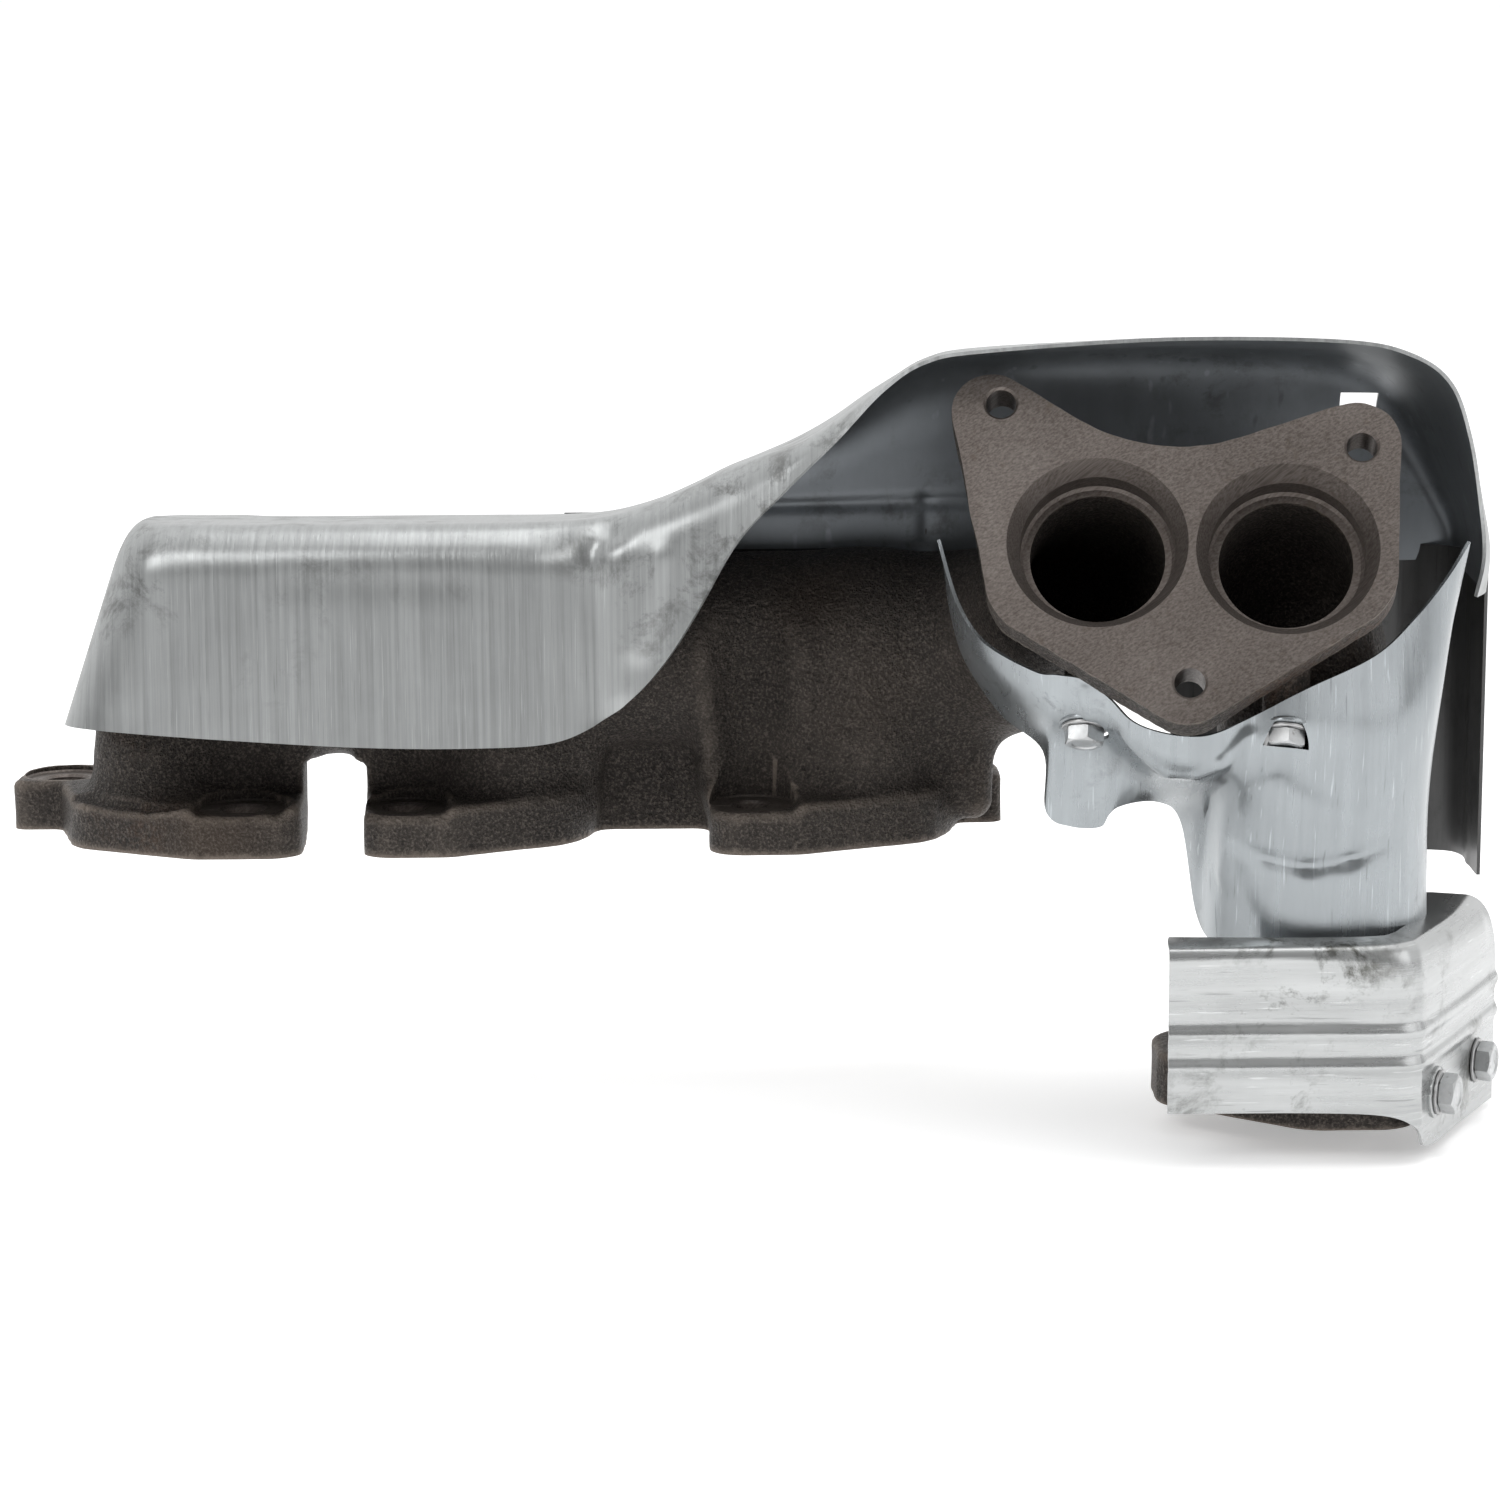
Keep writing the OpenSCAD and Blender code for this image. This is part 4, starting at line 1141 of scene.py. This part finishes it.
REAR_FACE = 30.2
PANEL_RIGHT = 293
PANEL_BEND = 20
BEND_X = PANEL_RIGHT - PANEL_BEND
APRON_LEFT = 204
APRON_CORNER = 20
APRON_TOP = 83


def back_panel(x0, low, high, right, fine_step):
    """A grid that follows the back plane and turns forward round the right end if right is set."""
    line = [(x, REAR_FACE) for x in np.arange(x0, BEND_X, fine_step)]
    if right:
        side_y = REAR_FACE - PANEL_BEND
        line += [(BEND_X + PANEL_BEND * math.sin(a), side_y + PANEL_BEND * math.cos(a))
                 for a in np.linspace(0, math.pi / 2, 12)]
        line += [(PANEL_RIGHT, y) for y in np.linspace(side_y, -12, 14)[1:]]
    else:
        line += [(BEND_X, REAR_FACE)]
    far = np.cumsum([0] + [math.dist(a, b) for a, b in zip(line, line[1:])])
    rows = []
    for (x, y), u in zip(line, far):
        z0, z1 = low(x, u), high(x, u)
        rows.append([(x, y, z0 + (z1 - z0) * t) for t in np.linspace(0, 1, 40)])
    return np.array(rows)


def apron_low(x, u):
    """The apron's lower edge: a rounded corner at its left end and a slight wave."""
    short = max(APRON_LEFT + APRON_CORNER - x, 0)
    corner = APRON_CORNER - math.sqrt(max(APRON_CORNER ** 2 - short ** 2, 0))
    return -13 + corner + 0.7 * (1 + math.sin(u / 7))


REAR_FEATURES = [
    ((291, 14, -8), (291, 16, 70), 3.0, 0.7), ((292, 2, -12), (292, 4, 60), 3.0, 0.6),
    ((280, 28, -10), (280, 28, 75), 3.5, 0.7), ((250, 30, -5), (252, 30, 70), 5.0, 0.8),
    ((222, 30, 62), (262, 30, 62), 2.5, 0.9)]
grid = press(back_panel(APRON_LEFT, apron_low, lambda x, u: APRON_TOP, True, 2), REAR_FEATURES)
rear = sheet_solid("rear_shield", grid, SHEET)
STRIP_FEATURES = [((30, 30, 88), (262, 30, 88), 2.0, 0.5)]
grid = press(back_panel(16, lambda x, u: 81.5, lambda x, u: 94.5, False, 1.5), STRIP_FEATURES)
combine(rear, [sheet_solid("strip", grid, SHEET)], "UNION")
combine(rear, bolt_holes([REAR_LEFT, REAR_RIGHT]))
place_sheet(rear, "rear_heat_shield", rear_metal, upper_metal)

FLANGE_FEATURES = [
    ((205, -106, -24), (235, -106, -27), 7.0, -0.5),
    ((270, -82, -20), (286, -52, -20), 5.0, 0.5)]
FLANGE_RIBS = [(-37.5, 1.7, 1.0), (-47.0, 1.7, 1.0)]
grid = press(sheet_grid(FLANGE_KEYS, 3 * density, 3 * fine), FLANGE_FEATURES, FLANGE_RIBS)
flange_box = sheet_solid("crossover_shield", grid, SHEET)
seat_pads(flange_box, [FLANGE_FRONT, FLANGE_REAR])
side = unit(np.cross([0, 0, 1.0], FACE_DIR))
middle = np.array([274.5, -77, -64])
points = []
for a in np.linspace(0, 2 * math.pi, 32, endpoint=False):
    shift = 3.4 if math.cos(a) > 0 else -3.4
    points.append(middle + side * (shift + 2.2 * math.cos(a)) + np.array([0, 0, 2.2 * math.sin(a)]))
rings = [p - FACE_DIR * 6 for p in points] + [p + FACE_DIR * 6 for p in points]
walls = [(i, (i + 1) % 32, (i + 1) % 32 + 32, i + 32) for i in range(32)]
slot = new_mesh("cutter", rings, walls + [tuple(range(31, -1, -1)), tuple(range(32, 64))])
outward(slot)
combine(flange_box, [slot])
place_sheet(flange_box, "crossover_flange_shield", flange_metal, inner_painted_shade_metal)

FASTENERS = [
    ("upper_shield_bolt_left", UPPER_LEFT, 12), ("upper_shield_bolt_right", UPPER_RIGHT, 12),
    ("rear_shield_bolt_left", REAR_LEFT, 12), ("rear_shield_bolt_right", REAR_RIGHT, 12),
    ("outlet_shield_bolt_left", OUTLET_LEFT, 12), ("outlet_shield_bolt_right", OUTLET_RIGHT, 12),
    ("flange_shield_bolt_front", FLANGE_FRONT, 8), ("flange_shield_bolt_rear", FLANGE_REAR, 8),
]
for name, place, shank in FASTENERS:
    head, ring = fastener("new_" + name, place, shank, zinc, zinc_dull)
    for piece, node in ((head, name), (ring, name.replace("bolt", "washer"))):
        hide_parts(node)
        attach(piece, "root")

# ---------------------------------------------------------------- floor and light
floor_z = (cad_box[0][2] - 0.002) / MM
floor = new_mesh("floor", [(-9000, -9000, floor_z), (9000, -9000, floor_z),
                           (9000, 9000, floor_z), (-9000, 9000, floor_z)], [(0, 1, 2, 3)])
pale = bpy.data.materials.new("pale_floor")
pale.use_nodes = True
paint = pale.node_tree.nodes["Principled BSDF"]
paint.inputs["Base Color"].default_value = (0.95, 0.95, 0.95, 1)
paint.inputs["Roughness"].default_value = 0.95
paint.inputs["Specular IOR Level"].default_value = 0.0
paint.inputs["Emission Color"].default_value = (1, 1, 1, 1)
paint.inputs["Emission Strength"].default_value = 0.36
floor.data.materials.append(pale)

# Soft studio surroundings: white behind the object and overhead, dimmer behind the camera.
world = bpy.data.worlds.new("studio")
bpy.context.scene.world = world
world.use_nodes = True
tree = world.node_tree
coordinate = tree.nodes.new("ShaderNodeTexCoord")
split = tree.nodes.new("ShaderNodeSeparateXYZ")
tree.links.new(coordinate.outputs["Generated"], split.inputs[0])


def map_range(value, source, target, kind="LINEAR"):
    """A node that maps value from one range to another."""
    made = tree.nodes.new("ShaderNodeMapRange")
    for key, number in zip(("From Min", "From Max", "To Min", "To Max"), (*source, *target)):
        made.inputs[key].default_value = number
    made.interpolation_type = kind
    tree.links.new(value, made.inputs["Value"])
    return made.outputs["Result"]


depth = map_range(split.outputs["Y"], (-0.9, 0.7), (0.22, 1.02), "SMOOTHSTEP")
above = map_range(split.outputs["Z"], (0.25, 0.9), (0.0, 0.25))
total = tree.nodes.new("ShaderNodeMath")
tree.links.new(depth, total.inputs[0])
tree.links.new(above, total.inputs[1])
tree.links.new(total.outputs[0], tree.nodes["Background"].inputs["Strength"])
tree.nodes["Background"].inputs["Color"].default_value = (1, 1, 1, 1)
bpy.context.scene.view_settings.view_transform = "Standard"


def softbox(name, at, aim_at, size, power, color=(1, 1, 1)):
    """A rectangular lamp aimed at a place."""
    light = bpy.data.lights.new(name, "AREA")
    light.shape = "RECTANGLE"
    light.size, light.size_y = size
    light.energy = power
    light.color = color
    obj = bpy.data.objects.new(name, light)
    obj.location = at
    way = Vector(aim_at) - Vector(at)
    obj.rotation_euler = way.to_track_quat("-Z", "Y").to_euler()
    bpy.context.collection.objects.link(obj)


softbox("key", (-0.7, -1.1, 1.0), (0.05, 0, 0.05), (0.8, 0.4), 6)
softbox("top", (0.2, 0.0, 1.2), (0.08, 0, 0), (1.2, 0.8), 6)
softbox("side", (1.2, -0.8, 0.5), (0.15, 0, 0.03), (0.9, 0.9), 3)
